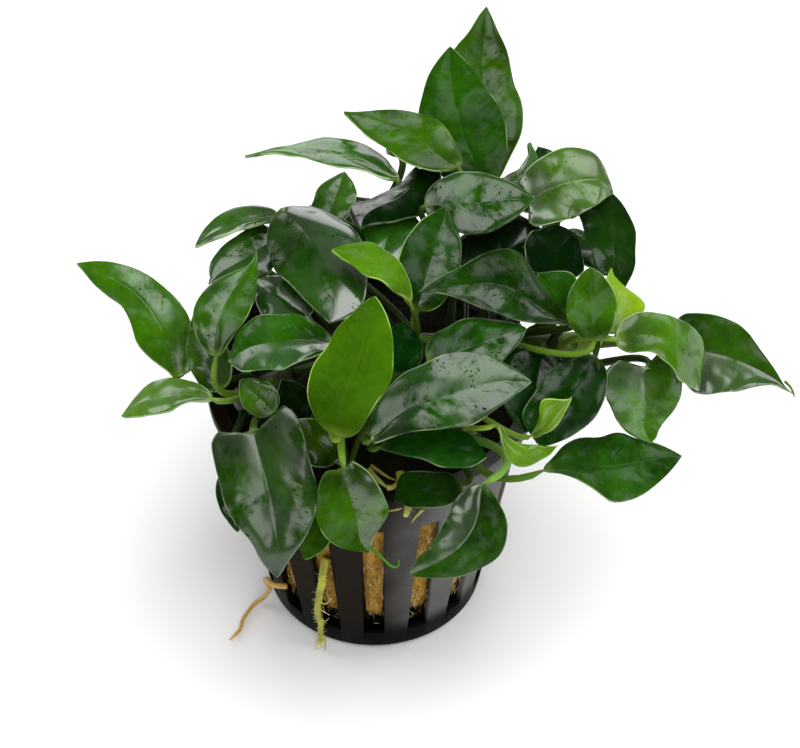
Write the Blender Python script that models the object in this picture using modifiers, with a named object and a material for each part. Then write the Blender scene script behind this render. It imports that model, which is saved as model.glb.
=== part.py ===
"""Anubias in a net pot: a small-leaved water plant rooted in a plug of mineral wool.

The pot stands on the floor plane with its axis on +Z. The front of the plant looks along -Y and its right
is +X.
Run with: blender --background --python part.py
"""

import math
from typing import NamedTuple

import bmesh
import bpy
from mathutils import Matrix, Vector

MM = 0.001  # metres in one millimetre; every size below is in millimetres
GAP = 0.3  # clearance kept between pieces that touch

# Net pot
POT_BOTTOM_RADIUS = 17.5
POT_TOP_RADIUS = 25.0
POT_HEIGHT = 46.0
POT_WALL = 1.2
POT_FLOOR = 1.6
POT_CHAMFER = 0.6
RIM_RADIUS = 26.2
RIM_HEIGHT = 1.8
POT_SEGMENTS = 48
SLOT_COUNT = 16
SLOT_WIDTH = 3.3
SLOT_LOW = 4.5
SLOT_HIGH = 35.5
SLOT_CUT_DEPTH = 20.0  # from the outside inwards, enough to pass the wall at its foot
FLOOR_SLOT_COUNT = 8
FLOOR_SLOT_WIDTH = 2.4
FLOOR_SLOT_FROM = 7.0
FLOOR_SLOT_TO = 14.0

# Mineral wool plug
WOOL_FOOT_RADIUS = 12.0  # its worn lower corner leaves the bottoms of the slots empty
WOOL_CORNER_HEIGHT = 9.0
WOOL_EDGE_HEIGHT = 43.5
WOOL_TOP = 48.0
WOOL_CROWN_RADIUS = 9.0
WOOL_SHOULDER_RADIUS = 17.0

# Leaves
BLADE_THICKNESS = 0.6
PETIOLE_FOOT_RADIUS = 0.95
PETIOLE_RADIUS = 0.7
BLADE_STATIONS = (0.03, 0.12, 0.27, 0.45, 0.64, 0.82, 0.94)  # along the midrib, 0 to 1
PETIOLE_STATIONS = (0.0, 0.33, 0.67, 0.94)  # along the leaf stalk, 0 to 1
SHOULDER = 0.4  # where the blade's flat middle ends, as a share of its half width
BLADE_SECTION = (  # places round a cross-section: across, and over or under the midrib
    (-1, 0),
    (-SHOULDER, 1),
    (SHOULDER, 1),
    (1, 0),
    (SHOULDER, -1),
    (-SHOULDER, -1),
)
EDGE_CURL = 1.5  # how much faster than the width the fold and the waves grow towards the edge
PETIOLE_ANGLES = (180, 120, 60, 0, -60, -120)

# The leaves are placed as they look from the front, VIEW_ELEVATION above the table and VIEW_DISTANCE away.
# A place is (across, up, lift): millimetres across and up in that view, from the centre of the pot's foot,
# and the height over the dome of foliage, towards the eye.
VIEW_ELEVATION = 47.0
VIEW_DISTANCE = 600.0
VIEW_AXIS = (4.2, 31.8)  # where the line of sight crosses the view, across and up
DOME_CENTRE = (8.0, 4.0, 56.0)
DOME_SIZE = (46.0, 36.0, 22.0)


class Outline(NamedTuple):
    """A blade's outline: half width = sin(pi * t ** widest) ** p, where p goes from base to tip."""

    widest: float
    base: float
    tip: float


OVATE = Outline(0.80, 0.52, 0.82)
ROUND = Outline(0.86, 0.5, 0.62)
LANCE = Outline(0.78, 0.6, 1.2)


class Leaf(NamedTuple):
    """One leaf: its stalk's place on a rhizome, and its blade from base to tip."""

    rhizome: str
    along: float  # where the stalk starts on the rhizome, 0 to 1
    base: tuple  # across, up, lift
    tip: tuple  # across, up, lift
    width: float
    face: tuple  # heading (0 front, 90 right) and elevation of the upper side, in degrees
    colour: str
    outline: Outline = OVATE
    arch: float = 0.0  # how far the midrib bows towards the upper side
    sweep: float = 0.0  # how far the midrib bows to the right
    fold: float = 0.0  # how far the edges rise over the midrib, as a share of the half width
    twist: float = 0.0  # degrees from base to tip
    wave: float = 0.0  # height of the waves along the edges
    waves: float = 1.5  # waves from base to tip
    bow: tuple = (0.0, 0.0, 0.0)  # how far the stalk bows in x, y and z


MAIN, FRONT, BACK = "rhizome", "rhizome_front", "rhizome_back"
DARK, MID, LIME = "leaf_dark", "leaf_mid", "leaf_lime"

# Each rhizome is a creeping stem: its radius and its course from the old end to the growing tip.
RHIZOME_TAPER = 0.25  # share of the radius lost along the stem
RHIZOMES = {
    MAIN: (
        2.4,
        (
            (-21, -11, 51.5),
            (-16, -7, 50.9),
            (-9, -2, 51.1),
            (0, 1, 51.5),
            (10, 1, 52),
            (19, 0, 53.2),
            (27, -2, 55.2),
            (35, -4.5, 59),
        ),
    ),
    FRONT: (2.2, ((3, 0, 51.3), (7, -6.5, 50.6), (12, -13, 50.2), (16, -18.5, 50))),
    BACK: (2.2, ((-1, 1, 51.3), (-3, 9, 52), (-3, 16, 54), (-1, 22, 57))),
}

# Leaves that show from the front, placed as they are seen.
SEEN_LEAVES = {
    "leaf_01": Leaf(BACK, 0.96, (19.2, 63.2, -12), (18.7, 93.2, 10), 14.5, (12, 42), MID, sweep=0.8),
    "leaf_02": Leaf(
        BACK, 0.85, (18.8, 63, -8), (12.5, 86.5, 11), 13.5, (-5, 45), MID,
        sweep=-1.6, bow=(0, 0, -3),
    ),
    "leaf_03": Leaf(
        BACK, 0.73, (14, 66.2, 2), (-5.2, 75.7, 7.5), 11.5, (-10, 90), MID,
        sweep=1.5, bow=(1, 0, -2),
    ),
    "leaf_04": Leaf(
        BACK, 0.90, (3.8, 64.2, -7), (-21.8, 68.4, 1), 10, (0, 106), MID, LANCE,
        arch=2.5, sweep=1, bow=(-1, 0, 0),
    ),
    "leaf_05": Leaf(
        BACK, 0.46, (6.7, 66, -4), (-2.2, 56.4, 1), 8, (-40, 95), DARK,
        fold=0.5, bow=(-1, 0, 0),
    ),
    "leaf_06": Leaf(MAIN, 0.52, (-15.8, 57.8, -1), (-30, 53, 2), 9, (-20, 84), MID, bow=(-1, 0, -4)),
    "leaf_07": Leaf(MAIN, 0.36, (-16.2, 54, -7), (-27.2, 47.2, -4), 10.5, (-20, 68), DARK, sweep=1),
    "leaf_08": Leaf(MAIN, 0.16, (-26.3, 34.7, 0), (-19.8, 52.7, 3), 9.8, (-15, 45), MID, sweep=-1.2),
    "leaf_09": Leaf(MAIN, 0.30, (-11.2, 41.2, -4), (-19.8, 47.6, -4), 8.4, (0, 66), DARK),
    "leaf_10": Leaf(MAIN, 0.22, (-7, 36.5, 1), (-24.5, 34, 2), 11, (-10, 64), MID, arch=1.5, sweep=1),
    "leaf_11": Leaf(
        MAIN, 0.31, (-5.8, 21.3, 3.5), (0, 44.8, 7.5), 12.6, (-5, 42), LIME,
        fold=0.12, bow=(-1, 1, 3),
    ),
    "leaf_12": Leaf(
        MAIN, 0.48, (-15.6, 59, 3), (-7.5, 40.5, 1), 14, (10, 60), DARK,
        arch=1, sweep=-2.5, fold=-0.15, bow=(0, -3, 0),
    ),
    "leaf_13": Leaf(
        MAIN, 0.51, (5.8, 43.8, 4), (-7.2, 52.5, 6), 7.5, (-20, 90), LIME,
        sweep=1.8, bow=(2, 2, 1),
    ),
    "leaf_14": Leaf(MAIN, 0.64, (7, 42.5, -2.5), (12, 60, 2.5), 9.6, (12, 45), MID),
    "leaf_15": Leaf(MAIN, 0.74, (8.3, 59.7, -0.5), (26.7, 61.2, 1.5), 10.2, (0, 62), DARK, bow=(2, 0, 1)),
    "leaf_16": Leaf(
        MAIN, 0.70, (27, 61.7, 1), (39.8, 62, 2), 14, (10, 62), MID, ROUND,
        arch=1, sweep=-1, bow=(-1, 0, -1),
    ),
    "leaf_17": Leaf(MAIN, 0.64, (21.7, 62.5, -1), (26, 70.5, 9), 6, (75, 50), DARK, fold=0.4),
    "leaf_18": Leaf(
        MAIN, 0.74, (35.2, 58.8, -6.5), (41.5, 45.8, -8.5), 11.5, (35, 50), DARK,
        arch=1, sweep=-1, bow=(-3, -1, 0),
    ),
    "leaf_19": Leaf(
        MAIN, 0.77, (33.3, 55, -4.5), (25.8, 49.2, -5.5), 8.4, (0, 60), DARK, ROUND,
        bow=(-5, 0, 0),
    ),
    "leaf_20": Leaf(
        MAIN, 0.76, (32.2, 40.2, 0), (7.3, 45.5, 3), 13.4, (8, 60), DARK,
        arch=1, sweep=1.8, bow=(0, 0, 1),
    ),
    "leaf_21": Leaf(FRONT, 0.18, (8.8, 33.7, -1), (25.3, 39.5, -1), 9.4, (-5, 70), DARK, bow=(2, -2, -1)),
    "leaf_22": Leaf(
        FRONT, 0.42, (-0.5, 20.8, 2), (26.2, 30.5, 4), 13.6, (5, 57), DARK,
        arch=1.5, sweep=-1, bow=(1, 0, 1),
    ),
    "leaf_23": Leaf(FRONT, 0.52, (1, 19.6, -2), (18.7, 18, 0), 9.2, (0, 76), DARK, arch=1),
    "leaf_24": Leaf(FRONT, 0.66, (14.5, 13.5, -2), (3.3, 10.5, 1), 9, (0, 52), DARK, ROUND, bow=(0, 0, -1)),
    "leaf_25": Leaf(
        MAIN, 0.06, (-20.2, 22.5, 2), (-16.2, -2.2, 0), 16, (-10, 50), DARK,
        arch=1.5, sweep=-0.8, bow=(0, -2, 0),
    ),
    "leaf_26": Leaf(FRONT, 0.30, (-5, 16.2, 2), (-0.8, 2, 1), 12.4, (0, 52), MID, wave=0.4),
    "leaf_27": Leaf(MAIN, 0.26, (-6.2, 17.3, -5), (-13, 24.2, -4), 7, (0, 50), MID),
    "leaf_28": Leaf(FRONT, 0.92, (17.8, 13.5, 2), (5.7, -1.7, 0), 13.2, (5, 48), DARK, arch=1, sweep=-1.8),
    "leaf_29": Leaf(
        FRONT, 0.98, (28.3, 15.7, 0), (51.3, 18.2, -5), 12.2, (10, 64), DARK,
        wave=0.5, bow=(1, 0, 1),
    ),
    "leaf_30": Leaf(MAIN, 0.90, (46, 33, -2), (46, 20.3, 0), 13, (0, 52), DARK, fold=0.2, bow=(0, 1, -2)),
    "leaf_31": Leaf(MAIN, 0.94, (40, 37.5, 4.5), (54.2, 29, 4), 10, (10, 62), MID, arch=3, sweep=-2),
    "leaf_32": Leaf(MAIN, 0.86, (49.5, 37, -6), (70, 28.5, -6), 13, (10, 62), MID, LANCE, sweep=-2),
    "leaf_33": Leaf(MAIN, 0.72, (36.5, 37.2, 4), (35.8, 49.5, 7), 7.6, (-5, 45), MID, ROUND, bow=(-1, 0, 3)),
    "leaf_34": Leaf(MAIN, 0.98, (38.8, 39, 0.5), (39.5, 49.5, 3.5), 6, (60, 50), LIME, bow=(3, 4, -1)),
    "leaf_35": Leaf(MAIN, 0.88, (36.7, 34.5, -3), (29.7, 20.2, -4), 9.6, (20, 50), DARK, bow=(1, 2, 3)),
    "leaf_36": Leaf(FRONT, 0.72, (26, 21.5, 0.5), (32.8, 28, 4.5), 6.4, (10, 50), LIME),
    "leaf_37": Leaf(
        FRONT, 0.84, (20.3, 23.2, 2), (30.7, 20, 3), 4.6, (0, 60), LIME, LANCE,
        sweep=2, bow=(1, -2, 0),
    ),
    "leaf_38": Leaf(MAIN, 0.03, (-27.2, 27.5, 0.5), (-42.3, 24.8, 0.5), 9.4, (-10, 76), MID, sweep=1),
    "leaf_39": Leaf(
        MAIN, 0.08, (-32.7, 31.2, -2), (-49.8, 50.3, 6), 10.5, (0, 64), MID,
        sweep=2.8, wave=0.5, bow=(0, 4, 2),
    ),
    "leaf_40": Leaf(BACK, 0.20, (3.3, 31.7, -6), (5, 40.5, -5), 7.4, (0, 50), DARK),
    "leaf_41": Leaf(BACK, 0.36, (0.5, 50, -8), (5.5, 60, -6), 9, (-10, 56), DARK, bow=(2, 3, 2)),
    "leaf_42": Leaf(MAIN, 0.68, (24, 44, -10), (17.5, 57.5, -6), 12, (0, 52), DARK),
    "leaf_43": Leaf(FRONT, 0.60, (26, 33, -9), (25, 22, -8), 11, (10, 50), DARK),
    "leaf_44": Leaf(BACK, 0.60, (-5, 47, -8.5), (-9, 58.5, -4), 11, (-10, 52), DARK, bow=(-1, 0, -2)),
}

# Leaves that hang out of sight behind the others, placed in x, y and z.
BACK_LEAVES = {
    "leaf_45": Leaf(BACK, 0.70, (-11, 24, 59), (-17, 35, 46), 12, (205, 40), DARK),
    "leaf_46": Leaf(BACK, 0.98, (3, 33, 63), (7, 49, 52), 12.5, (175, 55), MID, bow=(0, 3, 1)),
    "leaf_47": Leaf(MAIN, 0.60, (18, 26, 59), (29, 39, 50), 12, (145, 52), DARK, bow=(0, 0, -1)),
    "leaf_48": Leaf(MAIN, 0.36, (-19, 15, 57), (-25, 25, 44), 11.5, (225, 40), DARK),
    "leaf_49": Leaf(MAIN, 0.78, (30, 14, 60), (40, 24, 50), 12, (125, 50), MID, bow=(-2, 1, -3)),
    "leaf_50": Leaf(BACK, 0.93, (-4, 29, 57), (-4, 39, 43), 12, (180, 35), DARK),
    "leaf_51": Leaf(MAIN, 0.84, (32, 6, 56), (43, 14, 44), 11.5, (110, 45), DARK),
    "leaf_52": Leaf(MAIN, 0.16, (-24, 3, 55), (-29, 14, 42), 11, (255, 40), DARK),
}

# Small young leaves, grown together with the rhizome that bears them.
YOUNG_LEAVES = (
    Leaf(BACK, 0.73, (-8, 57, -7), (-5, 65.5, -1), 7, (-20, 60), MID, bow=(0, 1, 1)),
    Leaf(MAIN, 0.65, (30.5, 64, -6), (27.2, 69.7, -1), 4.6, (0, 50), DARK, bow=(0, 0, -4)),
    Leaf(FRONT, 0.14, (-8.3, 8.3, -1), (-11.7, 0.8, -4), 5, (0, 50), MID, bow=(1, -6, 4)),
    Leaf(MAIN, 0.79, (32, 42.5, -4), (27.7, 47.5, -3), 4.4, (0, 50), MID, bow=(2, 2, 0)),
    Leaf(MAIN, 0.02, (-24.5, 16.5, -2), (-23, 5.5, -3.5), 8, (-20, 50), DARK, bow=(-1, -1, 2)),
    Leaf(MAIN, 0.18, (-16.7, 25.5, -2), (-22.5, 30.8, 0), 5.6, (-10, 50), DARK, bow=(0, 0, 1)),
    Leaf(MAIN, 0.12, (-25.8, 29, -6.5), (-30, 42.3, -4.5), 7, (-20, 50), DARK, bow=(-3, 0, 2)),
    Leaf(MAIN, 0.20, (-11.5, 24, -8), (-15.5, 31, -7), 5.6, (0, 50), DARK),
)

# Roots: radius and course. Two come out of slots in the wall and end on the floor, one hangs over the rim.
ROOT_TAPER = 0.45
ROOTS = {
    "root_front": (
        0.7,
        (
            (-7.4, -19.5, 25),
            (-8.0, -20.9, 22),
            (-8.6, -20.6, 17),
            (-9.0, -19.2, 11),
            (-8.6, -18.0, 6),
            (-8.6, -17.6, 2.4),
            (-9.3, -18.2, 0.8),
        ),
    ),
    "root_left": (
        0.5,
        (
            (-14.2, -13.0, 10),
            (-16.0, -13.2, 10.6),
            (-17.6, -11.2, 9.6),
            (-17.2, -10.2, 6),
            (-18.4, -8.8, 2),
            (-19.8, -9.0, 0.7),
            (-21.5, -12.1, 0.6),
            (-22.0, -14.5, 0.6),
            (-23.8, -16.5, 0.6),
        ),
    ),
    "root_rim": (
        0.7,
        (
            (4.2, -22.2, 48.2),
            (4.8, -24.8, 48.0),
            (5.4, -26.8, 46.6),
            (5.7, -27.2, 43.5),
            (5.5, -26.8, 40.5),
        ),
    ),
}

COLOURS = {
    "pot_plastic": ((0.012, 0.012, 0.013), 0.38),
    "wool": ((0.46, 0.27, 0.07), 0.95),
    "rhizome": ((0.21, 0.24, 0.06), 0.6),
    "root": ((0.55, 0.50, 0.20), 0.6),
    "leaf_dark": ((0.012, 0.052, 0.012), 0.28),
    "leaf_mid": ((0.035, 0.13, 0.014), 0.3),
    "leaf_lime": ((0.17, 0.34, 0.015), 0.35),
}


def clear_scene():
    """Remove every object of the open scene."""
    for item in list(bpy.data.objects):
        bpy.data.objects.remove(item, do_unlink=True)


def new_collection(name):
    group = bpy.data.collections.new(name)
    bpy.context.scene.collection.children.link(group)
    return group


def new_material(name, colour, roughness):
    material = bpy.data.materials.new(name)
    material.use_nodes = True
    shader = material.node_tree.nodes["Principled BSDF"]
    shader.inputs["Base Color"].default_value = (*colour, 1.0)
    shader.inputs["Roughness"].default_value = roughness
    shader.inputs["Metallic"].default_value = 0.0
    material.diffuse_color = (*colour, 1.0)
    return material


def mesh_object(name, bm, group, material, smooth=True):
    """Turn a bmesh, in millimetres, into a named object in metres."""
    bmesh.ops.scale(bm, vec=(MM, MM, MM), verts=bm.verts)
    bmesh.ops.recalc_face_normals(bm, faces=bm.faces)
    mesh = bpy.data.meshes.new(name)
    bm.to_mesh(mesh)
    bm.free()
    for polygon in mesh.polygons:
        polygon.use_smooth = smooth
    item = bpy.data.objects.new(name, mesh)
    group.objects.link(item)
    if material:
        mesh.materials.append(material)
    return item


def turned(name, profile, segments, group, material):
    """Turn a profile of (radius, height) round the Z axis with a Screw modifier."""
    bm = bmesh.new()
    points = [bm.verts.new((radius * MM, 0.0, height * MM)) for radius, height in profile]
    for first, second in zip(points, points[1:]):
        bm.edges.new((first, second))
    mesh = bpy.data.meshes.new(name)
    bm.to_mesh(mesh)
    bm.free()
    item = bpy.data.objects.new(name, mesh)
    group.objects.link(item)
    if material:
        mesh.materials.append(material)
    screw = item.modifiers.new("Turn", "SCREW")
    screw.steps = segments
    screw.render_steps = segments
    screw.use_merge_vertices = True
    screw.merge_threshold = 0.00001
    screw.use_smooth_shade = True
    return item


def tube(name, points, radii, group, material, resolution=2):
    """A round stem through points, in millimetres, with a radius at each."""
    curve = bpy.data.curves.new(name, "CURVE")
    curve.dimensions = "3D"
    curve.bevel_depth = MM
    curve.bevel_resolution = resolution
    curve.use_fill_caps = True
    spline = curve.splines.new("POLY")
    spline.points.add(len(points) - 1)
    for place, point, radius in zip(spline.points, points, radii):
        place.co = (*(Vector(point) * MM), 1.0)
        place.radius = radius
    item = bpy.data.objects.new(name, curve)
    group.objects.link(item)
    if material:
        curve.materials.append(material)
    return item


def as_mesh(item, group):
    """Replace a curve object by the mesh it shows, with its caps welded."""
    shown = item.evaluated_get(bpy.context.evaluated_depsgraph_get())
    mesh = bpy.data.meshes.new_from_object(shown)
    bm = bmesh.new()
    bm.from_mesh(mesh)
    bmesh.ops.remove_doubles(bm, verts=bm.verts, dist=0.000001)
    bmesh.ops.recalc_face_normals(bm, faces=bm.faces)
    bm.to_mesh(mesh)
    bm.free()
    name = item.name
    bpy.data.objects.remove(item, do_unlink=True)
    item = bpy.data.objects.new(name, mesh)
    group.objects.link(item)
    return item


def cut(item, cutter, operation="DIFFERENCE"):
    boolean = item.modifiers.new(cutter.name, "BOOLEAN")
    boolean.operation = operation
    boolean.solver = "EXACT"
    boolean.object = cutter


def as_cutter(item):
    item.hide_render = True
    item.display_type = "WIRE"
    return item


def smooth_course(points, steps):
    """Points along a smooth curve through the given ones."""
    course = []
    knots = [Vector(point) for point in points]
    knots = [2 * knots[0] - knots[1]] + knots + [2 * knots[-1] - knots[-2]]
    for before, start, end, after in zip(knots, knots[1:], knots[2:], knots[3:]):
        for step in range(steps):
            t = step / steps
            course.append(
                0.5
                * (
                    2 * start
                    + (end - before) * t
                    + (2 * before - 5 * start + 4 * end - after) * t**2
                    + (3 * start - before - 3 * end + after) * t**3
                )
            )
    course.append(knots[-2])
    return course


def pot_radius(height):
    """Outer radius of the pot's wall at a height."""
    return POT_BOTTOM_RADIUS + (POT_TOP_RADIUS - POT_BOTTOM_RADIUS) * height / POT_HEIGHT


def build_pot(group, cutters, material):
    """The slotted pot: a turned shell with slots cut through its wall and its floor."""
    rim_under = POT_HEIGHT - RIM_HEIGHT
    slot_height = SLOT_HIGH - SLOT_LOW
    profile = [
        (0.0, POT_FLOOR),
        (pot_radius(POT_FLOOR) - POT_WALL, POT_FLOOR),
        (pot_radius(POT_HEIGHT) - POT_WALL, POT_HEIGHT),
        (RIM_RADIUS, POT_HEIGHT),
        (RIM_RADIUS, rim_under),
        (pot_radius(rim_under), rim_under),
        (pot_radius(POT_CHAMFER), POT_CHAMFER),
        (POT_BOTTOM_RADIUS - POT_CHAMFER, 0.0),
        (0.0, 0.0),
    ]
    pot = turned("net_pot", profile, POT_SEGMENTS, group, material)
    bm = bmesh.new()
    for index in range(SLOT_COUNT):
        spin = Matrix.Rotation(2 * math.pi * index / SLOT_COUNT, 4, "Z")
        centre = (0, -POT_TOP_RADIUS, SLOT_LOW + slot_height / 2)
        add_box(bm, centre, (SLOT_WIDTH, SLOT_CUT_DEPTH, slot_height), spin)
    side = mesh_object("side_slots", bm, cutters, None)
    bm = bmesh.new()
    reach = FLOOR_SLOT_TO - FLOOR_SLOT_FROM
    middle = (FLOOR_SLOT_TO + FLOOR_SLOT_FROM) / 2
    for index in range(FLOOR_SLOT_COUNT):
        spin = Matrix.Rotation(2 * math.pi * (index + 0.5) / FLOOR_SLOT_COUNT, 4, "Z")
        add_box(bm, (0, -middle, POT_FLOOR / 2), (FLOOR_SLOT_WIDTH, reach, POT_FLOOR * 2), spin)
    floor = mesh_object("floor_slots", bm, cutters, None)
    cut(pot, as_cutter(side))
    cut(pot, as_cutter(floor))


def add_box(bm, centre, size, spin):
    place = spin @ Matrix.Translation(centre) @ Matrix.Diagonal((*size, 1.0))
    bmesh.ops.create_cube(bm, size=1.0, matrix=place)


def build_wool(group, material):
    """The plug of mineral wool that fills the pot and stands a little over its rim."""
    inside = POT_WALL + GAP
    profile = [
        (0.0, WOOL_TOP),
        (WOOL_CROWN_RADIUS, WOOL_TOP - 0.6),
        (WOOL_SHOULDER_RADIUS, WOOL_TOP - 2.0),
        (pot_radius(WOOL_EDGE_HEIGHT) - inside, WOOL_EDGE_HEIGHT),
        (pot_radius(WOOL_CORNER_HEIGHT) - inside, WOOL_CORNER_HEIGHT),
        (WOOL_FOOT_RADIUS, POT_FLOOR + GAP),
        (0.0, POT_FLOOR + GAP),
    ]
    turned("wool_plug", profile, POT_SEGMENTS // 2, group, material)


def rhizome_at(name, along):
    """The point and the direction of a rhizome at a share of its length."""
    course = smooth_course(RHIZOMES[name][1], 6)
    place = along * (len(course) - 1)
    index = min(int(place), len(course) - 2)
    point = course[index].lerp(course[index + 1], place - index)
    return point, (course[index + 1] - course[index]).normalized()


def build_rhizomes(group, cutters, material):
    """The creeping stems with their young leaves. Each branch is trimmed where it meets the main stem."""
    main_radius, main_points = RHIZOMES[MAIN]
    main_course = smooth_course(main_points, 2)
    sleeve = tube("fork_cutter", main_course, [main_radius + GAP] * len(main_course), cutters, None)
    sleeve = as_cutter(as_mesh(sleeve, cutters))
    for name, (radius, points) in RHIZOMES.items():
        course = smooth_course(points, 2)
        radii = [radius * (1.0 - RHIZOME_TAPER * index / len(course)) for index in range(len(course))]
        stem = as_mesh(tube(name, course, radii, group, None), group)
        stem.data.materials.append(material)
        if name != MAIN:
            cut(stem, sleeve)
        for index, leaf in enumerate(YOUNG_LEAVES):
            if leaf.rhizome == name:
                base, tip = seen_at(leaf.base), seen_at(leaf.tip)
                young = build_leaf(f"young_leaf_{index + 1}", leaf, base, tip, cutters, material, fused=True)
                cut(stem, as_cutter(young), "UNION")


def build_roots(group, material):
    """Thin roots that taper towards their tips."""
    for name, (radius, points) in ROOTS.items():
        course = smooth_course(points, 2)
        radii = [radius * (1.0 - ROOT_TAPER * index / len(course)) for index in range(len(course))]
        tube(name, course, radii, group, material, resolution=1)


def dome_depth(across, up):
    """How far in front of the pot's foot the dome of foliage lies, along the line of sight."""
    tilt = math.radians(VIEW_ELEVATION)
    sine, cosine = math.sin(tilt), math.cos(tilt)
    centre_up = sine * DOME_CENTRE[1] + cosine * DOME_CENTRE[2]
    centre_depth = sine * DOME_CENTRE[2] - cosine * DOME_CENTRE[1]
    right, rise = across - DOME_CENTRE[0], up - centre_up
    width, length, height = DOME_SIZE
    square = (cosine / length) ** 2 + (sine / height) ** 2
    linear = 2 * sine * cosine * (1 / height**2 - 1 / length**2) * rise
    rest = ((sine / length) ** 2 + (cosine / height) ** 2) * rise**2 + (right / width) ** 2 - 1
    inside = max(linear**2 - 4 * square * rest, 0.0)
    return centre_depth + (math.sqrt(inside) - linear) / (2 * square)


def seen_at(place):
    """The point of a place (across, up, lift) in the view from the front."""
    across, up, lift = place
    tilt = math.radians(VIEW_ELEVATION)
    depth = dome_depth(across, up) + lift
    shrink = 1.0 - depth / VIEW_DISTANCE
    x = VIEW_AXIS[0] + (across - VIEW_AXIS[0]) * shrink
    rise = VIEW_AXIS[1] + (up - VIEW_AXIS[1]) * shrink
    return Vector((
        x,
        rise * math.sin(tilt) - depth * math.cos(tilt),
        rise * math.cos(tilt) + depth * math.sin(tilt),
    ))


def facing(heading, elevation):
    turn, tilt = math.radians(heading), math.radians(elevation)
    return Vector((math.sin(turn) * math.cos(tilt), -math.cos(turn) * math.cos(tilt), math.sin(tilt)))


def square_to(vector, axis):
    """The part of a vector at a right angle to an axis, with length 1."""
    return (vector - axis * vector.dot(axis)).normalized()


def half_width(outline, t):
    power = outline.base + (outline.tip - outline.base) * t
    return math.sin(math.pi * t**outline.widest) ** power


def blade_rings(leaf, base, tip):
    """Rings of six points along the blade: left edge, top, top, right edge, bottom, bottom."""
    length = (tip - base).length
    axis = (tip - base) / length
    normal = square_to(facing(*leaf.face), axis)
    side = axis.cross(normal)
    rings = []
    for t in BLADE_STATIONS:
        bulge = 4 * t * (1 - t)
        slope = 4 * (1 - 2 * t) / length
        centre = base + axis * length * t + normal * leaf.arch * bulge + side * leaf.sweep * bulge
        along = (axis + normal * leaf.arch * slope + side * leaf.sweep * slope).normalized()
        across = Matrix.Rotation(math.radians(leaf.twist) * t, 3, along) @ square_to(side, along)
        over = across.cross(along)
        half = max(leaf.width / 2 * half_width(leaf.outline, t), PETIOLE_RADIUS)
        ripple = leaf.wave * math.sin(2 * math.pi * leaf.waves * t)
        ring = []
        for share, thick in BLADE_SECTION:
            rise = (leaf.fold * half + math.copysign(ripple, share)) * abs(share) ** EDGE_CURL
            lift = rise + thick * BLADE_THICKNESS / 2
            ring.append(centre + across * half * share + over * lift)
        rings.append(ring)
    return rings, axis, normal, side


def petiole_rings(leaf, base, axis, normal, side, fused):
    """Rings of six points along the leaf stalk, from the rhizome, or from inside it, to the blade."""
    root, direction = rhizome_at(leaf.rhizome, leaf.along)
    outward = square_to(base - root, direction)
    radius = RHIZOMES[leaf.rhizome][0]
    foot = root + outward * (radius / 2 if fused else radius + GAP)
    reach = (base - foot).length
    leave = outward * reach
    arrive = (axis + normal).normalized() * reach
    rings = []
    for s in PETIOLE_STATIONS:
        centre = (
            foot * (2 * s**3 - 3 * s**2 + 1)
            + leave * (s**3 - 2 * s**2 + s)
            + base * (3 * s**2 - 2 * s**3)
            + arrive * (s**3 - s**2)
            + Vector(leaf.bow) * 4 * s * (1 - s)
        )
        along = (
            foot * (6 * s**2 - 6 * s)
            + leave * (3 * s**2 - 4 * s + 1)
            + base * (6 * s - 6 * s**2)
            + arrive * (3 * s**2 - 2 * s)
            + Vector(leaf.bow) * 4 * (1 - 2 * s)
        ).normalized()
        across = square_to(side, along)
        over = across.cross(along)
        radius = PETIOLE_FOOT_RADIUS + (PETIOLE_RADIUS - PETIOLE_FOOT_RADIUS) * s
        ring = []
        for degrees in PETIOLE_ANGLES:
            angle = math.radians(degrees)
            ring.append(centre + (across * math.cos(angle) + over * math.sin(angle)) * radius)
        rings.append(ring)
    return rings


def build_leaf(name, leaf, base, tip, group, material, fused=False):
    """One leaf, lofted from the round foot of its stalk to the point of its blade."""
    blade, axis, normal, side = blade_rings(leaf, base, tip)
    rings = petiole_rings(leaf, base, axis, normal, side, fused) + blade
    bm = bmesh.new()
    loops = [[bm.verts.new(point) for point in ring] for ring in rings]
    for first, second in zip(loops, loops[1:]):
        for index in range(len(first)):
            after = (index + 1) % len(first)
            bm.faces.new((first[index], first[after], second[after], second[index]))
    bm.faces.new(reversed(loops[0]))
    point = bm.verts.new(tip)
    for index in range(len(loops[-1])):
        after = (index + 1) % len(loops[-1])
        bm.faces.new((loops[-1][index], loops[-1][after], point))
    bmesh.ops.triangulate(bm, faces=bm.faces)
    return mesh_object(name, bm, group, material)


def main():
    clear_scene()
    group = new_collection("anubias_in_net_pot")
    cutters = new_collection("cutters")
    materials = {name: new_material(name, *look) for name, look in COLOURS.items()}
    build_pot(group, cutters, materials["pot_plastic"])
    build_wool(group, materials["wool"])
    build_rhizomes(group, cutters, materials["rhizome"])
    build_roots(group, materials["root"])
    for name, leaf in SEEN_LEAVES.items():
        build_leaf(name, leaf, seen_at(leaf.base), seen_at(leaf.tip), group, materials[leaf.colour])
    for name, leaf in BACK_LEAVES.items():
        build_leaf(name, leaf, Vector(leaf.base), Vector(leaf.tip), group, materials[leaf.colour])


main()
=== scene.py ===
"""Looks for the anubias in its net pot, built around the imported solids.

Every solid of the frame is replaced by a finer piece of the same form: blades with a grooved midrib, a rolled
rim and a wet, uneven skin, ringed rhizomes, hairy roots, a fibrous plug of mineral wool and a slotted pot.
Sizes are in millimetres, and MM turns them into metres where a mesh is made.
"""

import logging
import math
from dataclasses import dataclass, field
from enum import Enum

import bmesh
import bpy
import numpy as np
from mathutils import Matrix, Vector, noise


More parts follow.
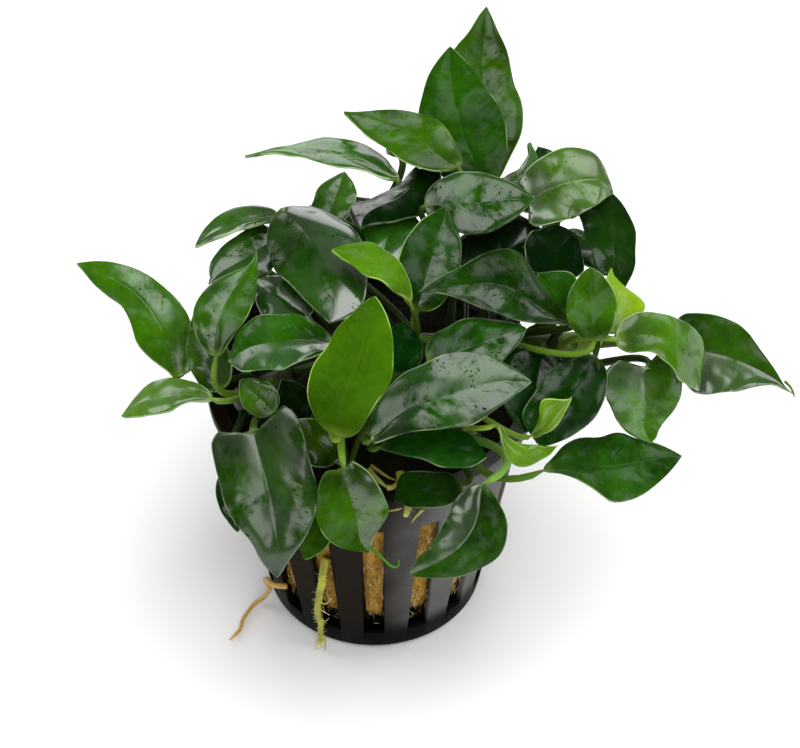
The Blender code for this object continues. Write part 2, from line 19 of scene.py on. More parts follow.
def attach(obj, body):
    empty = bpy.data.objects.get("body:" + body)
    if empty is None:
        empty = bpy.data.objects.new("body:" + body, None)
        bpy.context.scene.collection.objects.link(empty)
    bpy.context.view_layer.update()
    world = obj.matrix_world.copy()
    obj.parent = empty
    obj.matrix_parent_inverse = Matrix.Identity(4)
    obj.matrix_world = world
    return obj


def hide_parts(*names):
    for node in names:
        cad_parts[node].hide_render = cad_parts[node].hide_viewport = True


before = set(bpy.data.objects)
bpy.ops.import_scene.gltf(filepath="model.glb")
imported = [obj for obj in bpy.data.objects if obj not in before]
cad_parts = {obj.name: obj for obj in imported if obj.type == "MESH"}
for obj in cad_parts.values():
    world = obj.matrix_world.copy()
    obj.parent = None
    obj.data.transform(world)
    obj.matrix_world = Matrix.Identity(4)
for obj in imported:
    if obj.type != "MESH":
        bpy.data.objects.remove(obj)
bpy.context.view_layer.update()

logging.basicConfig(level=logging.INFO, format="%(name)s: %(message)s")
LOG = logging.getLogger("anubias")

MM = 0.001
BODY = "root"
IMAGE_WIDTH = 800
PIXELS_PER_MM = 6.0


class Tone(Enum):
    """How old a leaf looks. Each value is the record's slot for that finish."""

    DARK = "leaf_dark"
    MID = "leaf_mid"
    LIME = "leaf_lime"


class Stem(Enum):
    """The rhizomes that leaves grow from. Each value is the name of its solid."""

    MAIN = "rhizome"
    FRONT = "rhizome_front"
    BACK = "rhizome_back"


DARK, MID, LIME = Tone.DARK, Tone.MID, Tone.LIME
MAIN, FRONT, BACK = Stem.MAIN, Stem.FRONT, Stem.BACK


# ---- Geometry helpers ----


def unit(vectors: np.ndarray) -> np.ndarray:
    """Scale vectors to length 1.

    Args:
        vectors: One vector, or an array of them along the first axis.

    Returns:
        The same directions with length 1.
    """
    return vectors / np.linalg.norm(vectors, axis=-1, keepdims=True)


def square_to(vectors: np.ndarray, axes: np.ndarray) -> np.ndarray:
    """Take from each vector the part at a right angle to its axis.

    Args:
        vectors: Vectors along the first axis, or one vector.
        axes: Directions of length 1.

    Returns:
        Directions of length 1, square to the axes.
    """
    along = np.sum(vectors * axes, axis=-1, keepdims=True)
    return unit(vectors - axes * along)


def smooth_course(points: np.ndarray, steps: int) -> np.ndarray:
    """Run a smooth curve through points.

    Args:
        points: The points, one a row.
        steps: How many points the curve has for each stretch.

    Returns:
        The curve's points, one a row.
    """
    knots = np.vstack([2 * points[0] - points[1], points, 2 * points[-1] - points[-2]])
    course = []
    for before, start, end, after in zip(knots, knots[1:], knots[2:], knots[3:]):
        for t in np.arange(steps) / steps:
            course.append(
                0.5
                * (
                    2 * start
                    + (end - before) * t
                    + (2 * before - 5 * start + 4 * end - after) * t**2
                    + (3 * start - before - 3 * end + after) * t**3
                )
            )
    course.append(points[-1])
    return np.array(course)


def course_directions(course: np.ndarray) -> np.ndarray:
    """Directions of a curve at each of its points."""
    return unit(np.gradient(course, axis=0))


def smoothstep(values: np.ndarray, low: float, high: float) -> np.ndarray:
    """Rise smoothly from 0 at low to 1 at high."""
    t = np.clip((values - low) / (high - low), 0.0, 1.0)
    return t * t * (3 - 2 * t)


@dataclass
class MeshParts:
    """A mesh under construction: vertices in millimetres, faces, and numbers carried by each vertex.

    Attributes:
        points: Arrays of vertices.
        faces: Faces as tuples of vertex numbers.
        marks: Arrays of three numbers for each vertex, for each named attribute.
        slots: Material index of each face.
        count: Number of vertices so far.
    """

    points: list = field(default_factory=list)
    faces: list = field(default_factory=list)
    marks: dict = field(default_factory=dict)
    slots: list = field(default_factory=list)
    count: int = 0

    def add_points(self, points: np.ndarray, **marks: np.ndarray) -> int:
        """Add vertices.

        Args:
            points: Vertices, one a row.
            **marks: Three numbers for each vertex, by attribute name.

        Returns:
            The number of the first added vertex.
        """
        first = self.count
        self.points.append(points)
        for name, values in marks.items():
            self.marks.setdefault(name, []).append(np.broadcast_to(values, (len(points), 3)))
        self.count += len(points)
        return first

    def add_faces(self, faces: list, slot: int = 0) -> None:
        """Add faces that use one material."""
        self.faces.extend(faces)
        self.slots.extend([slot] * len(faces))

    def add_loft(self, rings: np.ndarray, slot: int = 0, **marks: np.ndarray) -> None:
        """Skin closed rings of vertices, and close both ends.

        Args:
            rings: Array of rings by points by three.
            slot: Material index.
            **marks: Numbers for each vertex, shaped like rings.
        """
        ring_count, size = rings.shape[:2]
        flat = {name: values.reshape(-1, 3) for name, values in marks.items()}
        first = self.add_points(rings.reshape(-1, 3), **flat)
        starts = first + np.arange(ring_count - 1)[:, None] * size
        here = np.arange(size)[None, :]
        there = (np.arange(size)[None, :] + 1) % size
        quads = np.stack(
            [starts + here, starts + there, starts + size + there, starts + size + here], axis=-1
        ).reshape(-1, 4)
        self.add_faces([tuple(quad) for quad in quads.tolist()], slot)
        last = first + (ring_count - 1) * size
        self.add_faces([tuple(range(first + size - 1, first - 1, -1))], slot)
        self.add_faces([tuple(range(last, last + size))], slot)

    def add_tube(
        self,
        course: np.ndarray,
        radii: np.ndarray,
        sides: int,
        slot: int = 0,
        **marks: np.ndarray,
    ) -> None:
        """Skin a round tube along a curve.

        Args:
            course: The curve's points.
            radii: Radius at each point, or at each point and side.
            sides: Number of sides.
            slot: Material index.
            **marks: Three numbers for each curve point, by attribute name.
        """
        along = course_directions(course)
        start = np.cross(along[0], [0.0, 0.0, 1.0])
        if np.linalg.norm(start) < 0.1:
            start = np.cross(along[0], [1.0, 0.0, 0.0])
        across = [unit(start)]
        for direction in along[1:]:
            across.append(square_to(across[-1], direction))
        across = np.array(across)
        over = np.cross(along, across)
        angles = np.arange(sides) * 2 * math.pi / sides
        radii = np.asarray(radii, float)
        if radii.ndim == 1:
            radii = radii[:, None]
        circle = (
            across[:, None, :] * np.cos(angles)[None, :, None]
            + over[:, None, :] * np.sin(angles)[None, :, None]
        )
        rings = course[:, None, :] + circle * radii[:, :, None]
        wide = {
            name: np.repeat(np.broadcast_to(values, (len(course), 3))[:, None, :], sides, axis=1)
            for name, values in marks.items()
        }
        self.add_loft(rings, slot, **wide)

    def build(self, name: str, materials: list) -> bpy.types.Object:
        """Make the object.

        Args:
            name: The object's name.
            materials: Its materials, in the order of the slots.

        Returns:
            The new object, smooth shaded, in metres.
        """
        mesh = bpy.data.meshes.new(name)
        mesh.from_pydata(np.vstack(self.points) * MM, [], self.faces)
        mesh.polygons.foreach_set("material_index", self.slots)
        mesh.polygons.foreach_set("use_smooth", [True] * len(mesh.polygons))
        for attribute_name, values in self.marks.items():
            attribute = mesh.attributes.new(attribute_name, "FLOAT_VECTOR", "POINT")
            attribute.data.foreach_set("vector", np.vstack(values).astype(np.float32).ravel())
        for material in materials:
            mesh.materials.append(material)
        mesh.validate()
        mesh.update()
        item = bpy.data.objects.new(name, mesh)
        bpy.context.scene.collection.objects.link(item)
        return item


def install(piece: bpy.types.Object, slot: str, *nodes: str) -> bpy.types.Object:
    """Put a piece on the body, in the place of solids of the frame.

    Args:
        piece: The finished piece.
        slot: The record's material slot. It is not used.
        *nodes: Names of the solids that it stands for.

    Returns:
        The piece.
    """
    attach(piece, BODY)
    if nodes:
        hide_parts(*nodes)
    LOG.info("%s: %d faces", piece.name, len(piece.data.polygons))
    return piece


# ---- The view that the leaves are placed in ----


@dataclass(frozen=True)
class FrontView:
    """The view from the front in which leaves are placed, and the dome that the foliage makes.

    Attributes:
        elevation: Height of the eye over the table, in degrees.
        distance: Distance of the eye, in millimetres.
        axis: Where the line of sight crosses the view, across and up from the centre of the pot's foot.
        dome_centre: Centre of the dome of foliage.
        dome_size: Its half sizes.
    """

    elevation: float = 47.0
    distance: float = 600.0
    axis: tuple = (4.2, 31.8)
    dome_centre: tuple = (8.0, 4.0, 56.0)
    dome_size: tuple = (46.0, 36.0, 22.0)

    def directions(self) -> tuple[np.ndarray, np.ndarray, np.ndarray]:
        """Right, up and towards the eye."""
        tilt = math.radians(self.elevation)
        sine, cosine = math.sin(tilt), math.cos(tilt)
        return np.array([1.0, 0, 0]), np.array([0, sine, cosine]), np.array([0, -cosine, sine])

    def dome_depth(self, across: float, up: float) -> float:
        """How far in front of the pot's foot the dome lies along the line of sight."""
        tilt = math.radians(self.elevation)
        sine, cosine = math.sin(tilt), math.cos(tilt)
        centre_x, centre_y, centre_z = self.dome_centre
        right = across - centre_x
        rise = up - (sine * centre_y + cosine * centre_z)
        width, length, height = self.dome_size
        square = (cosine / length) ** 2 + (sine / height) ** 2
        linear = 2 * sine * cosine * (1 / height**2 - 1 / length**2) * rise
        rest = ((sine / length) ** 2 + (cosine / height) ** 2) * rise**2 + (right / width) ** 2 - 1
        inside = max(linear**2 - 4 * square * rest, 0.0)
        return sine * centre_z - cosine * centre_y + (math.sqrt(inside) - linear) / (2 * square)

    def point_at_depth(self, across: float, up: float, depth: float) -> np.ndarray:
        """The point that shows at (across, up) at a depth towards the eye."""
        right, rise, towards = self.directions()
        shrink = 1.0 - depth / self.distance
        axis_across, axis_up = self.axis
        return (
            right * (axis_across + (across - axis_across) * shrink)
            + rise * (axis_up + (up - axis_up) * shrink)
            + towards * depth
        )

    def point(self, place: tuple) -> np.ndarray:
        """The point of a place (across, up, lift over the dome)."""
        across, up, lift = place
        return self.point_at_depth(across, up, self.dome_depth(across, up) + lift)


VIEW = FrontView()


# ---- Plans of the leaves, rhizomes and roots, as the solids have them ----


@dataclass(frozen=True)
class Outline:
    """A blade's outline: half width = sin(pi * t ** widest) ** p, where p goes from base to tip."""

    widest: float
    base: float
    tip: float

    def half_width(self, t: np.ndarray) -> np.ndarray:
        """Half width at t, as a share of the largest."""
        power = self.base + (self.tip - self.base) * t
        return np.maximum(np.sin(np.pi * t**self.widest), 0.0) ** power


OVATE = Outline(0.80, 0.52, 0.82)
ROUND = Outline(0.86, 0.5, 0.62)
LANCE = Outline(0.78, 0.6, 1.2)


@dataclass(frozen=True)
class LeafPlan:
    """One leaf: its stalk's place on a rhizome, and its blade from base to tip.

    Attributes:
        stem: The rhizome that it grows from.
        along: Where the stalk starts on it, from 0 to 1.
        base: Across, up and lift in the front view, or x, y and z for a leaf at the back.
        tip: The same for the blade's tip.
        width: Blade width.
        face: Heading (0 front, 90 right) and elevation of the upper side, in degrees.
        tone: How old the leaf looks.
        outline: Blade outline.
        arch: How far the midrib bows towards the upper side.
        sweep: How far the midrib bows to the right.
        fold: How far the edges rise over the midrib, as a share of the half width.
        wave: Height of the waves along the edges.
        bow: How far the stalk bows in x, y and z.
    """

    stem: Stem
    along: float
    base: tuple
    tip: tuple
    width: float
    face: tuple
    tone: Tone
    outline: Outline = OVATE
    arch: float = 0.0
    sweep: float = 0.0
    fold: float = 0.0
    wave: float = 0.0
    bow: tuple = (0.0, 0.0, 0.0)


# Each rhizome is a creeping stem: its radius and its course from the old end to the growing tip.
RHIZOME_TAPER = 0.25  # share of the radius lost along the stem
RHIZOMES = {
    MAIN: (
        2.4,
        (
            (-21, -11, 51.5),
            (-16, -7, 50.9),
            (-9, -2, 51.1),
            (0, 1, 51.5),
            (10, 1, 52),
            (19, 0, 53.2),
            (27, -2, 55.2),
            (35, -4.5, 59),
        ),
    ),
    FRONT: (2.2, ((3, 0, 51.3), (7, -6.5, 50.6), (12, -13, 50.2), (16, -18.5, 50))),
    BACK: (2.2, ((-1, 1, 51.3), (-3, 9, 52), (-3, 16, 54), (-1, 22, 57))),
}

# Leaves that show from the front, placed as they are seen.
SEEN_LEAVES = {
    "leaf_01": LeafPlan(BACK, 0.96, (19.2, 63.2, -12), (18.7, 93.2, 10), 14.5, (12, 42), MID, sweep=0.8),
    "leaf_02": LeafPlan(
        BACK, 0.85, (18.8, 63, -8), (12.5, 86.5, 11), 13.5, (-5, 45), MID, sweep=-1.6, bow=(0, 0, -3),
    ),
    "leaf_03": LeafPlan(
        BACK, 0.73, (14, 66.2, 2), (-5.2, 75.7, 7.5), 11.5, (-10, 90), MID, sweep=1.5, bow=(1, 0, -2),
    ),
    "leaf_04": LeafPlan(
        BACK, 0.90, (3.8, 64.2, -7), (-21.8, 68.4, 1), 10, (0, 106), MID, LANCE,
        arch=2.5, sweep=1, bow=(-1, 0, 0),
    ),
    "leaf_05": LeafPlan(
        BACK, 0.46, (6.7, 66, -4), (-2.2, 56.4, 1), 8, (-40, 95), DARK, fold=-0.25, bow=(-1, 0, 0),
    ),
    "leaf_06": LeafPlan(MAIN, 0.52, (-15.8, 57.8, -1), (-30, 53, 2), 9, (-20, 84), MID, bow=(-1, 0, -4)),
    "leaf_07": LeafPlan(MAIN, 0.36, (-16.2, 54, -7), (-27.2, 47.2, -4), 10.5, (-20, 68), DARK, sweep=1),
    "leaf_08": LeafPlan(
        MAIN, 0.16, (-26.3, 34.7, 0), (-19.8, 52.7, 3), 9.8, (-15, 45), MID, sweep=-1.2, bow=(-1.5, -2, -3),
    ),
    "leaf_09": LeafPlan(MAIN, 0.30, (-11.2, 41.2, -4), (-19.8, 47.6, -4), 8.4, (0, 66), DARK),
    "leaf_10": LeafPlan(MAIN, 0.22, (-7, 36.5, 1), (-24.5, 34, 2), 11, (-10, 64), MID, arch=1.5, sweep=1),
    "leaf_11": LeafPlan(
        MAIN, 0.31, (-5.8, 21.3, 3.5), (0, 44.8, 7.5), 12.6, (-5, 42), LIME, fold=0.12, bow=(-1, 1, 3),
    ),
    "leaf_12": LeafPlan(
        MAIN, 0.48, (-15.6, 59, 3), (-7.5, 40.5, 1), 14, (10, 60), DARK,
        arch=1, sweep=-2.5, fold=-0.15, bow=(0, -3, 0),
    ),
    "leaf_13": LeafPlan(
        MAIN, 0.51, (5.8, 43.8, 4), (-7.2, 52.5, 6), 7.5, (-20, 90), LIME, sweep=1.8, bow=(-1, 1, -1),
    ),
    "leaf_14": LeafPlan(MAIN, 0.64, (7, 42.5, -2.5), (12, 60, 2.5), 9.6, (12, 45), MID),
    "leaf_15": LeafPlan(
        MAIN, 0.74, (8.3, 59.7, -0.5), (26.7, 61.2, 1.5), 10.2, (0, 62), DARK, bow=(2, 0, 1),
    ),
    "leaf_16": LeafPlan(
        MAIN, 0.70, (25, 61.7, 0.8), (39.8, 62, 2), 14, (10, 62), MID, ROUND,
        arch=1, sweep=-1, bow=(-1, 0, -1),
    ),
    "leaf_17": LeafPlan(MAIN, 0.64, (21.7, 62.5, -1), (26, 70.5, 9), 6, (75, 50), DARK, fold=0.4),
    "leaf_18": LeafPlan(
        MAIN, 0.74, (35.2, 58.8, -6.5), (41.5, 45.8, -8.5), 11.5, (35, 50), DARK,
        arch=1, sweep=-1, bow=(-3, -1, 0),
    ),
    "leaf_19": LeafPlan(
        MAIN, 0.77, (33.3, 55, -4.5), (25.8, 49.2, -5.5), 8.4, (0, 60), DARK, ROUND, bow=(-5, 0, 0),
    ),
    "leaf_20": LeafPlan(
        MAIN, 0.76, (32.2, 40.2, 0), (7.3, 45.5, 3), 13.4, (8, 60), DARK, arch=1, sweep=1.8, bow=(0, 0, 1),
    ),
    "leaf_21": LeafPlan(
        FRONT, 0.18, (8.8, 33.7, -1), (25.3, 39.5, -1), 9.4, (-5, 70), DARK, bow=(2, -2, -1),
    ),
    "leaf_22": LeafPlan(
        FRONT, 0.42, (-0.5, 20.8, 2), (26.2, 30.5, 4), 13.6, (5, 57), DARK,
        arch=1.5, sweep=-1, fold=0.08, bow=(1, 0, 1),
    ),
    "leaf_23": LeafPlan(FRONT, 0.52, (1, 19.6, -2), (18.7, 18, 0), 9.2, (0, 76), DARK, arch=1),
    "leaf_24": LeafPlan(
        FRONT, 0.66, (14.5, 13.5, -2), (3.3, 10.5, 1), 9, (0, 52), DARK, ROUND, bow=(0, 0, -1),
    ),
    "leaf_25": LeafPlan(
        MAIN, 0.06, (-20.2, 22.5, 2), (-16.2, -2.2, 0), 16, (-10, 50), DARK,
        arch=1.5, sweep=-0.8, fold=0.03, bow=(0, -2, 0),
    ),
    "leaf_26": LeafPlan(FRONT, 0.30, (-5, 16.2, 2), (-0.8, 2, 1), 12.4, (0, 52), MID, wave=0.4),
    "leaf_27": LeafPlan(MAIN, 0.26, (-6.2, 17.3, -5), (-13, 24.2, -4), 7, (0, 50), MID),
    "leaf_28": LeafPlan(
        FRONT, 0.92, (17.8, 13.5, 2), (5.7, -1.7, 0), 13.2, (5, 48), DARK,
        arch=1, sweep=-1.8, bow=(4.5, 0, 0),
    ),
    "leaf_29": LeafPlan(
        FRONT, 0.98, (28.3, 15.7, 0), (51.3, 18.2, -5), 12.2, (10, 64), DARK,
        wave=0.5, bow=(-4.5, -1.5, -2),
    ),
    "leaf_30": LeafPlan(
        MAIN, 0.90, (46, 33, -2), (46, 20.3, 0), 13, (0, 52), DARK, fold=0.2, bow=(0, 1, -2),
    ),
    "leaf_31": LeafPlan(MAIN, 0.94, (40, 37.5, 4.5), (54.2, 29, 4), 10, (10, 62), MID, arch=3, sweep=-2),
    "leaf_32": LeafPlan(MAIN, 0.86, (49.5, 37, -6), (70, 28.5, -6), 13, (10, 62), MID, LANCE, sweep=-2),
    "leaf_33": LeafPlan(
        MAIN, 0.72, (36.5, 37.2, 4), (35.8, 49.5, 7), 7.6, (-5, 45), MID, ROUND, bow=(-1, 0, 3),
    ),
    "leaf_34": LeafPlan(MAIN, 0.98, (38.8, 39, 0.5), (39.5, 49.5, 3.5), 6, (35, 50), LIME, bow=(3, 4, -1)),
    "leaf_35": LeafPlan(MAIN, 0.88, (36.7, 34.8, -3), (27.6, 19.6, -4), 9.8, (20, 50), DARK, bow=(1, 2, 3)),
    "leaf_36": LeafPlan(FRONT, 0.72, (26, 21.5, 0.5), (32.8, 28, 4.5), 6.4, (10, 50), LIME),
    "leaf_37": LeafPlan(
        FRONT, 0.84, (20.3, 23.2, 2), (30.7, 20, 3), 4.6, (0, 60), LIME, LANCE, sweep=2, bow=(1, -2, 0),
    ),
    "leaf_38": LeafPlan(MAIN, 0.03, (-27.2, 27.5, 0.5), (-42.3, 24.8, 0.5), 9.4, (-10, 76), MID, sweep=1),
    "leaf_39": LeafPlan(
        MAIN, 0.08, (-32.7, 31.2, -2), (-49.8, 50.3, 6), 10.5, (0, 64), MID,
        sweep=2.8, wave=0.5, bow=(0, 4, 2),
    ),
    "leaf_40": LeafPlan(BACK, 0.20, (3.3, 31.7, -6), (5, 40.5, -5), 7.4, (0, 50), DARK),
    "leaf_41": LeafPlan(BACK, 0.36, (0.5, 50, -8), (5.5, 60, -6), 9, (-10, 56), DARK, bow=(2, 3, 2)),
    "leaf_42": LeafPlan(MAIN, 0.68, (25, 44, -10), (22.0, 59.3, -6), 13, (0, 52), DARK),
    "leaf_43": LeafPlan(FRONT, 0.60, (28.2, 36, -9), (25, 22, -8), 12, (10, 50), DARK),
    "leaf_44": LeafPlan(BACK, 0.60, (-5, 47, -8.5), (-9, 58.5, -4), 11, (-10, 52), DARK, bow=(-1, 0, -2)),
}

# Leaves that hang out of sight behind the others, placed in x, y and z.
BACK_LEAVES = {
    "leaf_45": LeafPlan(BACK, 0.70, (-11, 24, 59), (-17, 35, 46), 12, (205, 40), DARK),
    "leaf_46": LeafPlan(BACK, 0.98, (3, 33, 63), (7, 49, 52), 12.5, (175, 55), MID, bow=(3.5, 3, 1)),
    "leaf_47": LeafPlan(MAIN, 0.60, (18, 26, 59), (29, 39, 50), 12, (145, 52), DARK, bow=(0, 0, -1)),
    "leaf_48": LeafPlan(MAIN, 0.36, (-19, 15, 57), (-25, 25, 44), 11.5, (225, 40), DARK),
    "leaf_49": LeafPlan(MAIN, 0.78, (30, 14, 60), (40, 24, 50), 12, (125, 50), MID, bow=(-2, 1, -3)),
    "leaf_50": LeafPlan(BACK, 0.93, (-4, 29, 57), (-4, 39, 43), 12, (180, 35), DARK),
    "leaf_51": LeafPlan(MAIN, 0.84, (32, 6, 56), (43, 14, 44), 11.5, (110, 45), DARK),
    "leaf_52": LeafPlan(MAIN, 0.16, (-24, 3, 55), (-29, 14, 42), 11, (255, 40), DARK),
}

# Small young leaves, grown together with the rhizome that bears them.
YOUNG_LEAVES = (
    LeafPlan(BACK, 0.73, (-8, 57, -7), (-5, 65.5, -1), 7, (-20, 60), MID, bow=(0, 1, 1)),
    LeafPlan(MAIN, 0.65, (30.5, 64, -6), (27.2, 69.7, -1), 4.6, (0, 50), DARK, bow=(0, 0, -4)),
    LeafPlan(FRONT, 0.14, (-8.3, 8.3, -1), (-11.7, 0.8, -4), 5, (0, 50), MID, bow=(1, -6, 4)),
    LeafPlan(MAIN, 0.79, (32, 42.5, -4), (27.2, 48.6, -3), 5.6, (0, 50), MID, bow=(2, 2, 0)),
    LeafPlan(MAIN, 0.02, (-24.5, 16.5, -2), (-23, 5.5, -3.5), 8, (-20, 50), DARK, bow=(-1, -1, 2)),
    LeafPlan(MAIN, 0.18, (-16.7, 25.5, -2), (-22.5, 30.8, 0), 5.6, (-10, 50), DARK, bow=(0, 0, 1)),
    LeafPlan(MAIN, 0.12, (-25.8, 29, -6.5), (-30, 42.3, -4.5), 7, (-20, 50), DARK, bow=(-3, 0, 2)),
    LeafPlan(MAIN, 0.20, (-11.5, 24, -8), (-15.5, 31, -7), 5.6, (0, 50), DARK),
)

# Roots: radius and course. Two come out of slots in the wall and end on the floor, one hangs over the rim.
ROOT_TAPER = 0.45
ROOTS = {
    "root_front": (
        0.7,
        (
            (-7.4, -19.5, 25),
            (-8.0, -20.9, 22),
            (-8.6, -20.6, 17),
            (-9.0, -19.2, 11),
            (-8.6, -18.0, 6),
            (-8.6, -17.6, 2.4),
            (-9.3, -18.2, 0.8),
        ),
    ),
    "root_left": (
        0.5,
        (
            (-14.2, -13.0, 10),
            (-16.0, -13.2, 10.6),
            (-17.6, -11.2, 9.6),
            (-17.2, -10.2, 6),
            (-18.4, -8.8, 2),
            (-19.8, -9.0, 0.7),
            (-21.5, -12.1, 0.6),
            (-22.0, -14.5, 0.6),
            (-23.8, -16.5, 0.6),
        ),
    ),
    "root_rim": (
        0.7,
        (
            (4.2, -22.2, 48.2),
            (4.8, -24.8, 48.0),
            (5.3, -26.7, 46.6),
            (5.4, -26.9, 44.8),
            (5.0, -26.6, 43.4),
        ),
    ),
}


# What each root has beyond its solid. A side root is a few points and a radius.
ROOT_DETAILS = {
    "root_front": {
        "young": 0.10,
        "hairs": 260,
        "side_roots": (
            ((-8.7, -20.2, 15.5), (-7.9, -20.9, 15.2), (-7.2, -21.0, 15.9), (-6.6, -21.0, 16.9), 0.13),
            ((-8.9, -19.5, 12.5), (-7.9, -20.1, 12.2), (-7.0, -20.2, 11.5), 0.11),
            ((-9.0, -18.8, 9.0), (-7.9, -19.3, 8.9), (-7.2, -19.2, 9.6), 0.10),
            ((-8.6, -17.8, 4.0), (-8.0, -18.2, 2.2), (-8.0, -18.8, 0.7), 0.30),
        ),
    },
    "root_left": {"young": 0.06, "hairs": 120, "dried": 0.8},
    "root_rim": {
        "young": 0.10,
        "hairs": 40,
        "side_roots": (
            ((7.7, -23.1, 40.9), (7.2, -23.2, 40.2), (6.6, -23.4, 39.4), (6.0, -23.6, 38.3), 0.36),
            ((4.4, -24.5, 43.2), (3.8, -24.6, 42.7), (3.0, -24.6, 42.4), (2.2, -24.5, 42.0), 0.34),
            ((-0.6, -20.6, 47.0), (0.3, -22.0, 47.2), (1.4, -23.3, 47.2), (2.6, -24.2, 46.8), 0.62),
            ((2.2, -24.0, 46.9), (3.2, -23.9, 47.0), (4.0, -22.6, 47.1), (4.3, -20.8, 47.0), 0.50),
            ((-0.2, -19.0, 46.2), (1.0, -20.4, 46.6), (2.4, -21.6, 46.6), (3.6, -22.4, 46.8), 0.40),
        ),
    },
}

# Thin curled ends of blades: places across and up in the front view, and the radius at the start.
TIP_CURLS = {
    "leaf_26": (
        ((-1.2, 3.7), (-0.4, 2.6), (0.9, 1.5), (2.3, 0.1), (3.3, -0.4), (4.0, 0.0), (4.0, 0.8)),
        0.30,
    ),
    "leaf_32": (((68.3, 30.6), (69.2, 29.7), (69.8, 28.6), (69.9, 27.9)), 0.26),
}

# How far the blade's two corners reach back past its base, left and right, in millimetres.
LOBES = {
    "leaf_05": (4.5, 0.0),
    "leaf_16": (0.8, 2.2),
    "leaf_18": (5.5, 3.0),
    "leaf_25": (3.6, 2.2),
    "leaf_22": (1.5, 1.0),
    "leaf_26": (1.2, 1.2),
    "leaf_30": (4.4, 2.2),
    "leaf_39": (1.0, 1.0),
}
# Share of its film of water that each half of a blade keeps, left and right of the midrib.
HALF_WET = {
    "leaf_05": (0.1, 1.0),
    "leaf_01": (0.4, 1.0),
    "leaf_08": (1.0, 0.5),
    "leaf_10": (1.0, 0.35),
    "leaf_12": (1.0, 0.4),
    "leaf_14": (0.3, 1.0),
    "leaf_18": (0.2, 1.0),
    "leaf_20": (1.0, 0.45),
    "leaf_21": (0.3, 1.0),
    "leaf_26": (1.0, 0.2),
    "leaf_28": (0.2, 1.0),
    "leaf_30": (0.4, 1.0),
    "leaf_32": (0.2, 1.0),
    "leaf_39": (0.3, 1.0),
}

# How light a leaf stalk is, as a share of its finish's stalk colour: painted light and shade. Most stalks are
# painted dark, as in shade deep in the foliage, and darker still at the foot.
STALK_IN_SHADE = 0.45
STALK_SHADE = 0.4  # how much of that is left at a stalk's foot
STALK_WET = 0.35  # how much of the blade's film of water a stalk has
STALK_LIGHT = {
    "leaf_13": 0.14,
    "leaf_22": 1.0,
    "leaf_23": 0.9,
    "leaf_26": 1.3,
    "leaf_28": 3.2,
    "leaf_29": 1.6,
    "leaf_31": 1.0,
    "leaf_33": 1.0,
    "leaf_36": 0.8,
    "leaf_37": 0.9,
    "leaf_38": 0.9,
    "leaf_39": 0.8,
    "leaf_08": 0.9,
    "leaf_11": 0.8,
    "young_leaf_08": 0.9,
}
